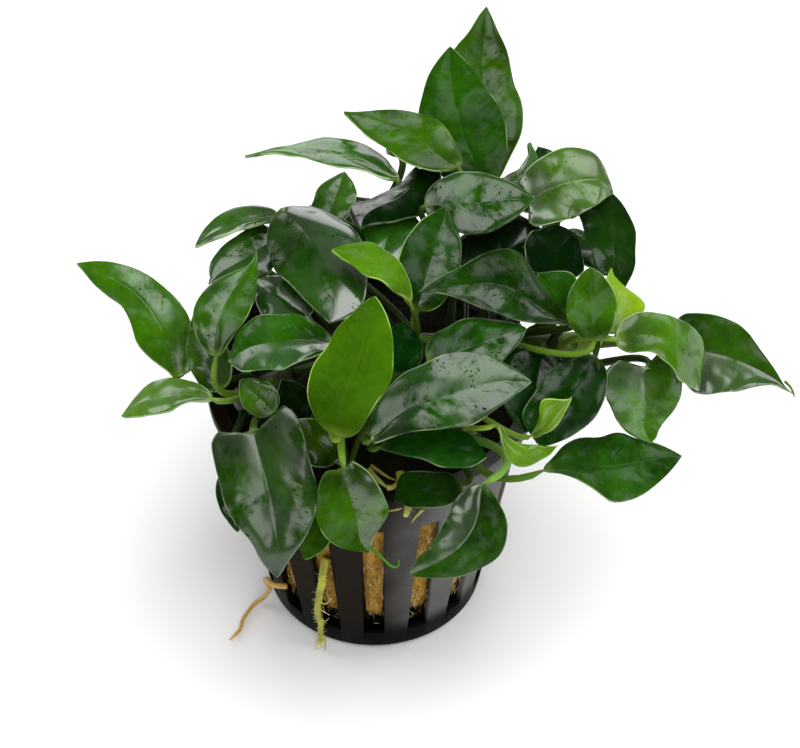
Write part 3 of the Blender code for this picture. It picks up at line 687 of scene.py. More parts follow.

# Where the blade's edges lie, left and right of its first line, as shares of its outline's half width.
# Most of these numbers were computed from outlines drawn over the photo.
EDGE_STATIONS = (0.06, 0.16, 0.30, 0.45, 0.60, 0.75, 0.88, 0.95)  # along the midrib, 0 to 1
MIDRIB_PULL = 0.7  # how far the midrib moves to the middle between uneven edges
EDGES = {
    "leaf_07": ((1.0,) * 8, (1.0, 0.9, 0.75, 0.65, 0.65, 0.75, 0.9, 1.0)),
    "leaf_12": ((1.0, 1.0, 1.0, 1.0, 1.0, 1.15, 1.7, 2.3), (1.0,) * 8),
    "leaf_42": ((1.2, 1.5, 1.8, 2.0, 2.0, 1.8, 1.5, 1.2), (1.0,) * 8),
    "leaf_19": ((0.9, 1.1, 1.25, 1.35, 1.35, 1.2, 1.0, 1.0), (1.0, 1.0, 1.0, 1.05, 1.1, 1.1, 1.0, 1.0)),
    "leaf_35": ((1.0,) * 8, (1.0, 1.0, 1.0, 1.0, 1.1, 1.5, 2.2, 2.4)),
    "young_leaf_04": ((1.2, 1.3, 1.4, 1.5, 1.5, 1.5, 1.4, 1.2),) * 2,
    "leaf_43": ((1.2, 1.3, 1.2, 1.1, 1.0, 1.0, 1.0, 1.0), (1.3, 1.3, 1.2, 1.1, 1.0, 1.0, 1.0, 1.0)),
    "leaf_41": ((1.0, 1.2, 1.4, 1.5, 1.5, 1.4, 1.2, 1.0), (1.0, 1.1, 1.2, 1.3, 1.3, 1.3, 1.2, 1.0)),
    "leaf_05": ((1.3, 1.5, 1.6, 1.6, 1.4, 1.0, 0.6, 0.4), (0.25, 0.25, 0.3, 0.45, 0.9, 1.5, 2.0, 2.0)),
    "leaf_32": ((1.3, 1.0, 0.85, 0.75, 0.65, 0.45, 0.2, -0.2), (1.5, 1.5, 1.2, 1.0, 0.9, 0.7, 0.45, 0.75)),
    "leaf_34": ((0.6, 0.5, 0.45, 0.4, 0.4, 0.5, 0.5, 0.5), (1.1, 1.3, 1.6, 2.0, 2.1, 1.2, 0.5, 0.3)),
    "leaf_46": ((0.35, 0.35, 0.4, 0.5, 0.7, 0.9, 1.0, 1.0),) * 2,
    "young_leaf_05": ((0.9,) * 8, (0.6,) * 8),
    "leaf_39": ((0.3, 0.6, 0.8, 0.55, 0.4, 0.55, 0.65, 0.55), (0.7, 0.95, 1.05, 1.05, 1.0, 0.95, 1.0, 1.0)),
    "leaf_38": ((0.2, 0.1, 0.2, 0.4, 0.5, 0.55, 0.6, 0.7), (0.55, 0.65, 0.75, 0.85, 1.1, 1.5, 1.5, 1.5)),
    "leaf_08": (
        (0.8, 0.95, 1.0, 0.95, 0.75, 0.35, -0.35, -0.35),
        (0.4, 0.5, 0.65, 0.75, 0.8, 0.85, 0.85, 1.0),
    ),
    "leaf_06": ((0.0, 0.0, -0.05, -0.05, 0.0, 0.05, 0.1, 0.15), (0.85, 0.9, 1.0, 1.15, 1.2, 1.3, 1.45, 1.5)),
    "leaf_04": ((0.8, 0.7, 0.85, 0.9, 0.85, 0.8, 1.3, 1.5), (0.7, 1.0, 1.05, 1.0, 0.8, 0.2, -0.15, -0.6)),
    "leaf_03": ((1.05, 1.0, 0.95, 0.85, 0.9, 0.95, 0.9, 0.9), (0.55, 0.6, 0.8, 0.95, 0.9, 0.8, 0.65, 0.4)),
    "leaf_01": ((0.4, 0.9, 1.05, 1.15, 1.2, 1.3, 1.0, 1.15), (0.4, 0.5, 0.65, 0.65, 0.5, 0.5, 0.45, 0.45)),
    "leaf_16": ((0.6, 0.75, 0.8, 0.85, 0.95, 1.15, 1.5, 1.5), (1.3, 1.0, 0.85, 0.75, 0.65, 0.6, 0.5, 0.35)),
    "leaf_18": ((1.5, 1.35, 1.0, 0.8, 0.7, 0.65, 0.6, 0.5), (0.35, 0.45, 0.6, 0.65, 0.75, 0.95, 1.0, 0.0)),
    "leaf_20": (
        (0.25, 0.45, 0.45, 0.45, 0.4, 0.3, 0.2, 0.15),
        (0.3, 0.4, 0.75, 1.15, 1.05, 0.75, 0.65, 0.65),
    ),
    "leaf_22": (
        (0.45, 0.8, 1.0, 0.95, 1.15, 1.25, 1.3, 1.25),
        (0.25, 0.25, 0.35, 0.5, 0.7, 0.65, 0.65, 0.6),
    ),
    "leaf_28": (
        (0.7, 1.0, 1.05, 1.05, 0.95, 0.85, 0.8, 0.8),
        (0.5, 0.55, 0.45, 0.45, 0.35, 0.35, 0.55, 0.55),
    ),
    "leaf_25": ((1.3, 1.1, 0.95, 0.95, 0.9, 0.8, 0.55, 0.6), (1.35, 1.05, 0.9, 0.85, 0.75, 0.6, 0.7, 0.85)),
    "leaf_11": (
        (1.05, 1.1, 1.05, 1.0, 0.85, 0.95, 0.9, 1.05),
        (0.7, 0.65, 0.65, 0.85, 0.9, 0.95, 1.05, 1.15),
    ),
    "leaf_10": ((0.45, 0.5, 0.6, 0.7, 0.75, 0.85, 1.25, 1.5), (0.7, 0.7, 0.8, 0.85, 0.95, 1.2, 1.5, 1.1)),
    "leaf_13": ((0.15, 0.3, 0.4, 0.6, 0.7, 0.75, 0.75, 0.7), (0.45, 0.6, 0.8, 0.95, 1.15, 1.5, 1.5, 1.5)),
    "leaf_31": ((1.1, 1.1, 1.0, 1.05, 1.15, 1.45, 1.5, 1.5), (0.7, 0.4, 0.25, 0.5, 0.75, 0.9, 0.9, 0.8)),
    "leaf_30": ((0.8, 0.9, 0.75, 0.6, 0.5, 0.3, 0.35, 0.6), (1.5, 1.45, 1.1, 0.95, 0.95, 1.0, 1.2, 1.25)),
    "leaf_29": ((0.4, 0.7, 0.8, 0.7, 0.9, 0.75, 1.0, 1.1), (0.15, 0.35, 0.7, 1.0, 1.05, 1.0, 0.95, 0.95)),
    "leaf_36": ((0.1, 0.2, 0.3, 0.65, 0.95, 0.7, 0.4, 0.0), (0.5, 0.4, 0.5, 0.5, 0.45, 0.45, 0.45, 0.55)),
    "leaf_37": ((0.5, 0.2, 0.1, 0.25, 0.4, 0.5, 0.55, 0.65), (0.1, 0.7, 1.2, 1.4, 1.2, 1.0, 1.5, 1.5)),
    "leaf_17": (
        (0.8, 0.45, 0.1, 0.0, -0.1, -0.15, 0.05, 0.55),
        (0.8, 0.0, 1.15, 1.45, 1.3, 1.3, 1.25, 0.75),
    ),
    "leaf_24": ((0.9, 0.7, 0.65, 0.55, 0.5, 0.45, 0.35, 0.2), (0.6, 0.65, 0.65, 0.7, 0.85, 1.15, 1.45, 1.4)),
    "leaf_23": ((0.5, 0.5, 0.6, 0.75, 0.85, 1.15, 1.5, 1.5), (0.3, 0.35, 0.4, 0.5, 0.65, 0.85, 1.1, 1.15)),
    "leaf_26": ((0.45, 0.65, 0.7, 0.75, 0.8, 0.65, 0.4, 0.4), (0.95, 0.95, 0.9, 1.0, 1.1, 1.25, 1.35, 1.2)),
}

# How light each leaf's green is, as a share of its finish's (partly its own tone, partly painted light and
# shade on the whole leaf), how wet it is and how far it leans to yellow.
# A scratch program fitted these numbers to each leaf's tones in the photo. The other leaves have PLAIN_LOOK.
PLAIN_LOOK = (0.5, 0.3, 0.0)
LEAF_LOOKS = {
    "leaf_01": (0.35, 0.25, 0.6),
    "leaf_02": (0.35, 0.1, 0.25),
    "leaf_03": (0.5, 0.3, 0.6),
    "leaf_04": (0.7, 0.75, 0.25),
    "leaf_05": (0.2, 0.8, 0.05),
    "leaf_06": (0.5, 1.1, 0.45),
    "leaf_07": (0.85, 0.6, 0.4),
    "leaf_08": (0.55, 0.5, 0.45),
    "leaf_09": (0.85, 1.1, 0.3),
    "leaf_10": (0.45, 1.1, 0.25),
    "leaf_11": (0.35, 0.05, 0.2),
    "leaf_12": (0.75, 1.1, 0.4),
    "leaf_13": (0.5, 0.4, 0.25),
    "leaf_14": (0.25, 0.4, 0.2),
    "leaf_15": (0.9, 0.45, 0.35),
    "leaf_16": (0.55, 0.9, 0.8),
    "leaf_17": (1.95, 1.1, 0.5),
    "leaf_18": (0.45, 0.25, 0.3),
    "leaf_19": (0.15, 0.05, -0.25),
    "leaf_20": (0.55, 0.35, 0.35),
    "leaf_21": (1.1, 0.5, 0.2),
    "leaf_22": (0.85, 0.6, 0.3),
    "leaf_23": (0.9, 0.05, 0.0),
    "leaf_24": (0.65, 0.1, 0.2),
    "leaf_25": (0.8, 0.65, 0.55),
    "leaf_26": (0.5, 0.8, 0.6),
    "leaf_27": (0.35, 0.35, 0.8),
    "leaf_28": (1.0, 0.9, 0.5),
    "leaf_29": (1.25, 0.2, 0.35),
    "leaf_30": (2.6, 0.85, 0.7),
    "leaf_31": (0.8, 0.5, 0.7),
    "leaf_32": (0.3, 1.1, 0.5),
    "leaf_33": (0.5, 0.1, 0.55),
    "leaf_34": (0.95, 0.75, 0.8),
    "leaf_35": (0.55, 0.25, 0.05),
    "leaf_36": (0.6, 1.1, 0.5),
    "leaf_37": (0.5, 1.1, 0.45),
    "leaf_38": (1.0, 1.1, 0.8),
    "leaf_39": (0.65, 0.6, 0.5),
    "leaf_40": (0.5, 0.05, -0.2),
    "leaf_41": (1.6, 1.1, 0.3),
    "leaf_42": (0.1, 0.55, -0.2),
    "leaf_43": (0.45, 0.25, -0.1),
    "leaf_49": (0.2, 0.35, 0.0),
    "young_leaf_01": (0.45, 0.5, 0.55),
    "young_leaf_03": (0.5, 0.05, 0.6),
    "young_leaf_04": (0.35, 0.05, 0.2),
    "young_leaf_06": (1.4, 0.35, 0.8),
    "young_leaf_07": (1.65, 0.55, 0.75),
    "young_leaf_08": (0.2, 0.05, 0.1),
}


# ---- Shader tools and shared node groups ----


class NodeWriter:
    """Adds nodes to a node tree in rows, and links them."""

    def __init__(self, tree: bpy.types.NodeTree) -> None:
        """Start on a tree.

        Args:
            tree: The material's or the group's node tree.
        """
        self.tree = tree
        self.column = 0

    def add(self, kind: str, inputs: dict | None = None, **settings) -> bpy.types.Node:
        """Add a node.

        Args:
            kind: Blender's name for the node type.
            inputs: Value or socket for each input, by name or number.
            **settings: The node's own properties.

        Returns:
            The new node.
        """
        node = self.tree.nodes.new(kind)
        node.location = (self.column * 180, -200 * (self.column % 3))
        self.column += 1
        for key, value in settings.items():
            setattr(node, key, value)
        for key, value in (inputs or {}).items():
            self.feed(node.inputs[key], value)
        return node

    def feed(self, socket: bpy.types.NodeSocket, value) -> None:
        """Link an output to a socket, or set the socket's value."""
        if isinstance(value, bpy.types.NodeSocket):
            self.tree.links.new(value, socket)
        else:
            socket.default_value = value

    def math(self, operation: str, first, second=0.0, clamp: bool = False) -> bpy.types.NodeSocket:
        """A Math node's result.

        Args:
            operation: The operation's name.
            first: First value or socket.
            second: Second value or socket.
            clamp: Whether the result stays between 0 and 1.

        Returns:
            The output socket.
        """
        node = self.add("ShaderNodeMath", {0: first, 1: second}, operation=operation, use_clamp=clamp)
        return node.outputs[0]

    def plus(self, first, second, clamp: bool = False) -> bpy.types.NodeSocket:
        """The sum of two values, kept between 0 and 1 if it is clamped."""
        return self.math("ADD", first, second, clamp)

    def minus(self, first, second, clamp: bool = False) -> bpy.types.NodeSocket:
        """The first value less the second, kept between 0 and 1 if it is clamped."""
        return self.math("SUBTRACT", first, second, clamp)

    def times(self, first, second) -> bpy.types.NodeSocket:
        """The product of two values."""
        return self.math("MULTIPLY", first, second)

    def fade(self, value, low: float, high: float, start: float = 0.0, end: float = 1.0):
        """A smooth step from start at low to end at high.

        Args:
            value: The socket that is mapped.
            low: Where the step begins.
            high: Where it ends.
            start: Result under low.
            end: Result over high.

        Returns:
            The output socket.
        """
        node = self.add(
            "ShaderNodeMapRange",
            {"Value": value, "From Min": low, "From Max": high, "To Min": start, "To Max": end},
            interpolation_type="SMOOTHSTEP",
        )
        return node.outputs["Result"]

    def blend(self, factor, first, second, blend_type: str = "MIX") -> bpy.types.NodeSocket:
        """A mix of two colours.

        Args:
            factor: Share of the second colour.
            first: First colour or socket.
            second: Second colour or socket.
            blend_type: How the colours are mixed.

        Returns:
            The output socket.
        """
        node = self.add("ShaderNodeMix", data_type="RGBA", blend_type=blend_type)
        self.feed(node.inputs[0], factor)
        self.feed(node.inputs[6], first)
        self.feed(node.inputs[7], second)
        return node.outputs[2]

    def noise(self, scale: float, detail: float = 2.0, vector=None, roughness: float = 0.5):
        """A noise value from 0 to 1 at a scale in features per metre."""
        if vector is None:
            vector = self.position()
        node = self.add(
            "ShaderNodeTexNoise",
            {"Vector": vector, "Scale": scale, "Detail": detail, "Roughness": roughness},
        )
        return node.outputs[0]

    def position(self) -> bpy.types.NodeSocket:
        """Coordinates of the piece, in metres."""
        return self.add("ShaderNodeTexCoord").outputs["Object"]

    def marks(self, name: str) -> bpy.types.Node:
        """The three numbers that a mesh carries under a name, split."""
        source = self.add("ShaderNodeAttribute", attribute_name=name)
        return self.add("ShaderNodeSeparateXYZ", {0: source.outputs["Vector"]})


class GroupKind(Enum):
    """The shared node groups."""

    MOTTLING = "mottling"
    WET_SKIN = "wet_skin"
    LEAF_MARKINGS = "leaf_markings"


class NodeGroups:
    """Builds each shared node group once, and places it in materials."""

    def __init__(self) -> None:
        """Build all the groups."""
        self.groups = {
            GroupKind.MOTTLING: self.mottling(),
            GroupKind.WET_SKIN: self.wet_skin(),
            GroupKind.LEAF_MARKINGS: self.leaf_markings(),
        }

    @staticmethod
    def start(kind: GroupKind, inputs: dict, outputs: tuple) -> tuple:
        """Make an empty group with its sockets.

        Args:
            kind: Which group.
            inputs: Socket name to default value.
            outputs: Names of the outputs.

        Returns:
            The group, its writer, its input node and its output node.
        """
        tree = bpy.data.node_groups.new(kind.value, "ShaderNodeTree")
        for name, value in inputs.items():
            socket = tree.interface.new_socket(name, in_out="INPUT", socket_type="NodeSocketFloat")
            socket.default_value = value
        for name in outputs:
            kind_of = "NodeSocketVector" if name == "Flow" else "NodeSocketFloat"
            tree.interface.new_socket(name, in_out="OUTPUT", socket_type=kind_of)
        writer = NodeWriter(tree)
        return tree, writer, writer.add("NodeGroupInput"), writer.add("NodeGroupOutput")

    def place(self, writer: NodeWriter, kind: GroupKind, inputs: dict) -> bpy.types.Node:
        """Put a group in a material.

        Args:
            writer: The material's writer.
            kind: Which group.
            inputs: Value or socket for each input.

        Returns:
            The group node.
        """
        node = writer.add("ShaderNodeGroup", node_tree=self.groups[kind])
        for key, value in inputs.items():
            writer.feed(node.inputs[key], value)
        return node

    def mottling(self) -> bpy.types.NodeTree:
        """Soft blotches at two scales, with a contrast."""
        inputs = {"Scale": 150.0, "Fine Scale": 900.0, "Contrast": 0.3}
        tree, writer, start, end = self.start(GroupKind.MOTTLING, inputs, ("Mask",))
        position = writer.position()
        large = writer.add("ShaderNodeTexNoise", {"Vector": position, "Detail": 2.0})
        writer.feed(large.inputs["Scale"], start.outputs["Scale"])
        small = writer.add("ShaderNodeTexNoise", {"Vector": position, "Detail": 3.0})
        writer.feed(small.inputs["Scale"], start.outputs["Fine Scale"])
        both = writer.plus(large.outputs[0], writer.times(small.outputs[0], 0.45))
        centred = writer.minus(both, 0.725)
        steep = writer.math("DIVIDE", centred, start.outputs["Contrast"])
        writer.feed(end.inputs["Mask"], writer.plus(steep, 0.5, clamp=True))
        return tree

    def wet_skin(self) -> bpy.types.NodeTree:
        """A film of water that has drawn together, over a place given in millimetres.

        Film is where it lies, Specks are small, drawn-out breaks in it, and Height is its surface.
        """
        inputs = {"Across": 0.0, "Along": 0.0, "Seed": 0.0, "Cover": 0.5}
        outputs = ("Height", "Film", "Specks", "Flow")
        tree, writer, start, end = self.start(GroupKind.WET_SKIN, inputs, outputs)
        across, along = start.outputs["Across"], start.outputs["Along"]
        aside = writer.math("ABSOLUTE", across)
        half = writer.times(writer.math("SIGN", across), 31.0)
        seed = writer.plus(writer.times(start.outputs["Seed"], 173.0), half)
        ribs = writer.minus(writer.times(along, 0.75), writer.times(aside, 0.65))
        runs = writer.plus(writer.times(aside, 0.75), writer.times(along, 0.65))
        flow = writer.add("ShaderNodeCombineXYZ", {0: ribs, 1: writer.times(runs, 0.62), 2: seed})
        flow = flow.outputs[0]
        writer.feed(end.inputs["Flow"], flow)
        broad = writer.noise(0.23, 3.0, flow, 0.6)
        ripple = writer.noise(0.75, 3.0, flow, 0.6)
        fine = writer.noise(2.6, 2.0, flow, 0.6)
        film = writer.plus(broad, writer.times(writer.minus(ripple, 0.5), 0.5))
        film = writer.plus(film, writer.times(writer.minus(fine, 0.5), 0.16))
        film = writer.minus(writer.plus(film, start.outputs["Cover"]), 1.0)
        film = writer.plus(writer.times(film, 5.0), 0.5, clamp=True)
        writer.feed(end.inputs["Film"], film)
        cells = writer.add("ShaderNodeTexVoronoi", {"Vector": flow, "Scale": 2.1}, feature="F1")
        size = writer.fade(writer.noise(1.3, 2.0, flow), 0.38, 0.62, -0.10, 0.12)
        edge = writer.plus(cells.outputs["Distance"], size)
        speck = writer.fade(edge, 0.16, 0.34, 1.0, 0.0)
        moved = writer.add("ShaderNodeVectorMath", {0: flow, 1: (11.0, 5.0, 3.0)}, operation="ADD")
        patches = writer.noise(0.33, 2.0, moved.outputs[0])
        clusters = writer.fade(patches, 0.52, 0.64)
        specks = writer.times(speck, clusters)
        writer.feed(end.inputs["Specks"], specks)
        height = writer.plus(ripple, writer.times(fine, 0.16))
        height = writer.plus(height, writer.times(film, 0.10))
        writer.feed(end.inputs["Height"], writer.minus(height, writer.times(specks, 0.25)))
        return tree

    def leaf_markings(self) -> bpy.types.NodeTree:
        """Midrib, side veins and rim, from distances in millimetres over the blade."""
        inputs = {
            "From Midrib": 0.0,
            "Along": 0.5,
            "From Edge": 1.0,
            "Vein Count": 9.0,
            "Rim Width": 0.22,
        }
        outputs = ("Midrib", "Veins", "Rim", "Stalk")
        tree, writer, start, end = self.start(GroupKind.LEAF_MARKINGS, inputs, outputs)
        aside = writer.math("ABSOLUTE", start.outputs["From Midrib"])
        span = writer.plus(aside, start.outputs["From Edge"])
        share = writer.math("DIVIDE", aside, writer.math("MAXIMUM", span, 0.01))
        width = writer.fade(start.outputs["Along"], 0.0, 1.0, 0.55, 0.16)
        midrib = writer.minus(1.0, writer.math("DIVIDE", aside, width), clamp=True)
        writer.feed(end.inputs["Midrib"], writer.math("POWER", midrib, 0.7))
        lean = writer.times(writer.math("POWER", share, 0.8), 0.24)
        phase = writer.minus(start.outputs["Along"], lean)
        turns = writer.times(phase, start.outputs["Vein Count"])
        line = writer.times(writer.math("PINGPONG", turns, 0.5), 2.0)
        vein = writer.fade(line, 0.0, 0.28, 1.0, 0.0)
        inner = writer.fade(share, 0.7, 0.97, 1.0, 0.0)
        writer.feed(end.inputs["Veins"], writer.times(vein, inner))
        near = writer.math("DIVIDE", start.outputs["From Edge"], start.outputs["Rim Width"])
        writer.feed(end.inputs["Rim"], writer.fade(near, 0.35, 1.0, 1.0, 0.0))
        writer.feed(end.inputs["Stalk"], writer.fade(start.outputs["Along"], -0.02, 0.09, 1.0, 0.0))
        return tree


def new_material(name: str) -> tuple[bpy.types.Material, NodeWriter, bpy.types.Node]:
    """Make a material.

    Args:
        name: Its name.

    Returns:
        The material, a writer for its nodes, and its Principled node.
    """
    material = bpy.data.materials.new(name)
    material.use_nodes = True
    shader = material.node_tree.nodes["Principled BSDF"]
    return material, NodeWriter(material.node_tree), shader


def bump(writer: NodeWriter, height, strength: float, distance: float) -> bpy.types.NodeSocket:
    """A normal from a height.

    Args:
        writer: The material's writer.
        height: Socket with the height, about 0 to 1.
        strength: Share of the bump that shows.
        distance: Real height of 1, in metres.

    Returns:
        The normal.
    """
    node = writer.add("ShaderNodeBump", {"Height": height, "Strength": strength, "Distance": distance})
    return node.outputs["Normal"]


# ---- Finishes ----


@dataclass(frozen=True)
class LeafFinish:
    """Glossy, leathery leaf skin under a film of water.

    Attributes:
        tone: The age that it stands for.
        deep: Colour of the darkest parts.
        bright: Colour of the lightest parts.
        vein: Colour of the side veins.
        midrib: Colour of the midrib.
        rim: Colour of the pale rim along the edges, a painted glint.
        under: Colour of the underside.
        stalk: Colour of the leaf stalk.
        warmth: How much more red a warm leaf has.
        midrib_show: How strongly the midrib's colour shows.
        dry: Roughness where the film of water is broken.
        wet: Roughness under the film.
        cover: How much of a dry blade the film covers.
        wet_cover: How much more it covers on a wet one.
        coat: Weight of the film.
        coat_roughness: Roughness of the film.
        coat_ior: Its index of refraction, high so that its reflections are strong.
        relief: Real height of the skin's bumps, in metres.
    """

    tone: Tone
    deep: tuple
    bright: tuple
    vein: tuple
    midrib: tuple
    rim: tuple
    under: tuple
    stalk: tuple
    warmth: float = 2.2
    midrib_show: float = 0.16
    dry: float = 0.62
    wet: float = 0.26
    cover: float = 0.46
    wet_cover: float = 0.16
    coat: float = 1.0
    coat_roughness: float = 0.19
    coat_ior: float = 1.85
    relief: float = 0.00030

    def make(self, groups: NodeGroups) -> bpy.types.Material:
        """Build the material.

        Args:
            groups: The shared node groups.

        Returns:
            The material.
        """
        material, writer, shader = new_material(self.tone.value)
        place = writer.marks("leaf_place")
        nature = writer.marks("leaf_nature")
        look = writer.marks("leaf_look")
        seed, under, along = nature.outputs[0], nature.outputs[1], nature.outputs[2]
        # The look's first number is how light the green is: partly the leaf's own tone, partly painted light
        # and shade.
        light, wet, warm = look.outputs[0], look.outputs[1], look.outputs[2]
        markings = groups.place(
            writer,
            GroupKind.LEAF_MARKINGS,
            {"From Midrib": place.outputs[0], "Along": place.outputs[1], "From Edge": place.outputs[2]},
        )
        blotches = groups.place(
            writer, GroupKind.MOTTLING, {"Scale": 130.0, "Fine Scale": 700.0, "Contrast": 0.42}
        )
        cover = writer.plus(writer.times(wet, self.wet_cover), self.cover)
        skin = groups.place(
            writer,
            GroupKind.WET_SKIN,
            {"Across": place.outputs[0], "Along": along, "Seed": seed, "Cover": cover},
        )
        colour = writer.blend(blotches.outputs["Mask"], (*self.deep, 1), (*self.bright, 1))
        veins = writer.times(markings.outputs["Veins"], 0.08)
        colour = writer.blend(veins, colour, (*self.vein, 1))
        midrib = writer.times(markings.outputs["Midrib"], self.midrib_show)
        colour = writer.blend(midrib, colour, (*self.midrib, 1))
        # Painted shade: the blade is darker towards its base, in the crowded middle of the plant.
        base_shade = writer.fade(place.outputs[1], 0.0, 0.45, 0.5, 1.06)
        stalk_light = light
        light = writer.times(light, base_shade)
        red = writer.times(light, writer.plus(1.0, writer.times(warm, self.warmth)))
        gain = writer.add("ShaderNodeCombineXYZ", {0: red, 1: light, 2: light}).outputs[0]
        colour = writer.blend(1.0, colour, gain, "MULTIPLY")
        colour = writer.blend(writer.times(under, 0.85), colour, (*self.under, 1))
        # Painted glint: the pale rim along the edges, shown in random patches.
        lit = writer.fade(writer.noise(0.22, 2.0, skin.outputs["Flow"]), 0.40, 0.64, 0.08, 0.9)
        rim = writer.times(markings.outputs["Rim"], lit)
        colour = writer.blend(rim, colour, (*self.rim, 1))
        # The stalk's colour times the painted light and shade that its look carries.
        lights = writer.add("ShaderNodeCombineXYZ", dict.fromkeys(range(3), stalk_light)).outputs[0]
        stalk = writer.blend(1.0, (*self.stalk, 1), lights, "MULTIPLY")
        colour = writer.blend(markings.outputs["Stalk"], colour, stalk)
        writer.feed(shader.inputs["Base Color"], colour)
        specks = skin.outputs["Specks"]
        film = writer.minus(skin.outputs["Film"], specks, clamp=True)
        film = writer.times(film, writer.minus(1.0, writer.times(under, 0.7)))
        film = writer.times(film, wet)
        rough = writer.minus(self.dry, writer.times(film, self.dry - self.wet))
        rough = writer.plus(rough, writer.times(specks, 0.3), clamp=True)
        writer.feed(shader.inputs["Roughness"], rough)
        writer.feed(shader.inputs["Coat Weight"], writer.times(film, self.coat))
        shader.inputs["Coat Roughness"].default_value = self.coat_roughness
        shader.inputs["Coat IOR"].default_value = self.coat_ior
        shader.inputs["Specular IOR Level"].default_value = 0.01
        height = writer.times(markings.outputs["Veins"], 0.10)
        height = writer.minus(skin.outputs["Height"], height)
        writer.feed(shader.inputs["Normal"], bump(writer, height, 0.8, self.relief))
        return material


@dataclass(frozen=True)
class PotFinish:
    """Satin black moulded plastic, with a painted warm brown reflection on its left side and a painted grey
    sheen on its right.

    Attributes:
        colour: Colour of the plastic.
        left_reflection: Colour of the painted warm brown reflection on the left side.
        dry: Colour of the painted grey sheen on the right side.
    """

    colour: tuple = (0.0030, 0.0027, 0.0024)
    left_reflection: tuple = (0.0090, 0.0050, 0.0010)
    dry: tuple = (0.1450, 0.1450, 0.1400)

    def make(self, groups: NodeGroups) -> bpy.types.Material:
        """Build the material.

        Args:
            groups: The shared node groups.

        Returns:
            The material.
        """
        material, writer, shader = new_material("pot_plastic")
        blotches = groups.place(
            writer, GroupKind.MOTTLING, {"Scale": 110.0, "Fine Scale": 1100.0, "Contrast": 0.45}
        )
        place = writer.add("ShaderNodeSeparateXYZ", {0: writer.position()})
        # Painted light: a warm brown reflection on the left side and a grey sheen on the right, in mottled
        # cover that fades out towards the black foot.
        drift = writer.times(writer.minus(writer.noise(60.0), 0.5), 0.012)
        side = writer.fade(writer.plus(place.outputs[0], drift), 0.000, 0.013)
        film = writer.blend(side, (*self.left_reflection, 1), (*self.dry, 1))
        height = writer.fade(place.outputs[2], 0.004, 0.009)
        cover = writer.times(height, writer.fade(blotches.outputs["Mask"], 0.0, 1.0, 0.55, 0.85))
        writer.feed(shader.inputs["Base Color"], writer.blend(cover, (*self.colour, 1), film))
        rough = writer.plus(writer.times(blotches.outputs["Mask"], 0.18), 0.34)
        writer.feed(shader.inputs["Roughness"], rough)
        grain = writer.plus(writer.times(writer.noise(2600.0), 0.25), writer.noise(260.0))
        writer.feed(shader.inputs["Normal"], bump(writer, grain, 0.25, 0.0001))
        shader.inputs["Specular IOR Level"].default_value = 0.02
        return material


@dataclass(frozen=True)
class WoolFinish:
    """Damp mineral wool, golden brown with dark, soaked patches and pale fibres, its top painted dark as
    shade under the leaves and darker towards the foot.

    Attributes:
        top_shade_and_dark_foot: Colour of the top, painted dark as shade under the leaves, and of the darker
            foot.
        dark: Colour of the soaked patches.
        gold: Main colour.
        pale: Colour of the palest fibres.
    """

    top_shade_and_dark_foot: tuple = (0.008, 0.008, 0.002)
    dark: tuple = (0.15, 0.075, 0.010)
    gold: tuple = (0.54, 0.32, 0.055)
    pale: tuple = (0.76, 0.62, 0.34)

    def make(self, groups: NodeGroups) -> bpy.types.Material:
        """Build the material.

        Args:
            groups: The shared node groups.

        Returns:
            The material.
        """
        material, writer, shader = new_material("wool")
        nature = writer.marks("fibre_nature")
        blotches = groups.place(
            writer, GroupKind.MOTTLING, {"Scale": 150.0, "Fine Scale": 1100.0, "Contrast": 0.5}
        )
        colour = writer.blend(blotches.outputs["Mask"], (*self.dark, 1), (*self.gold, 1))
        pale = writer.fade(nature.outputs[0], 0.45, 1.0)
        colour = writer.blend(pale, colour, (*self.pale, 1))
        place = writer.add("ShaderNodeSeparateXYZ", {0: writer.position()})
        # Paler towards the right side.
        paler_right = writer.fade(place.outputs[0], 0.009, 0.016, 0.0, 0.55)
        colour = writer.blend(paler_right, colour, (*self.pale, 1))
        height = place.outputs[2]
        # Painted shade: the top is dark, in the shade of the leaves. Towards the foot the wool is darker too,
        # less so on the right, except the pale fibres.
        top_shade = writer.fade(height, 0.0405, 0.0435)
        foot = writer.fade(height, 0.0075, 0.0115, 1.0, 0.0)
        foot = writer.times(foot, writer.fade(place.outputs[0], 0.006, 0.011, 1.0, 0.1))
        foot = writer.times(foot, writer.minus(1.0, pale))
        colour = writer.blend(writer.math("MAXIMUM", top_shade, foot), colour, (*self.top_shade_and_dark_foot, 1))
        writer.feed(shader.inputs["Base Color"], colour)
        writer.feed(
            shader.inputs["Roughness"], writer.fade(blotches.outputs["Mask"], 0.0, 1.0, 0.55, 0.95)
        )
        height = writer.noise(3200.0, 4.0, roughness=0.65)
        writer.feed(shader.inputs["Normal"], bump(writer, height, 0.8, 0.0003))
        shader.inputs["Specular IOR Level"].default_value = 0.12
        return material


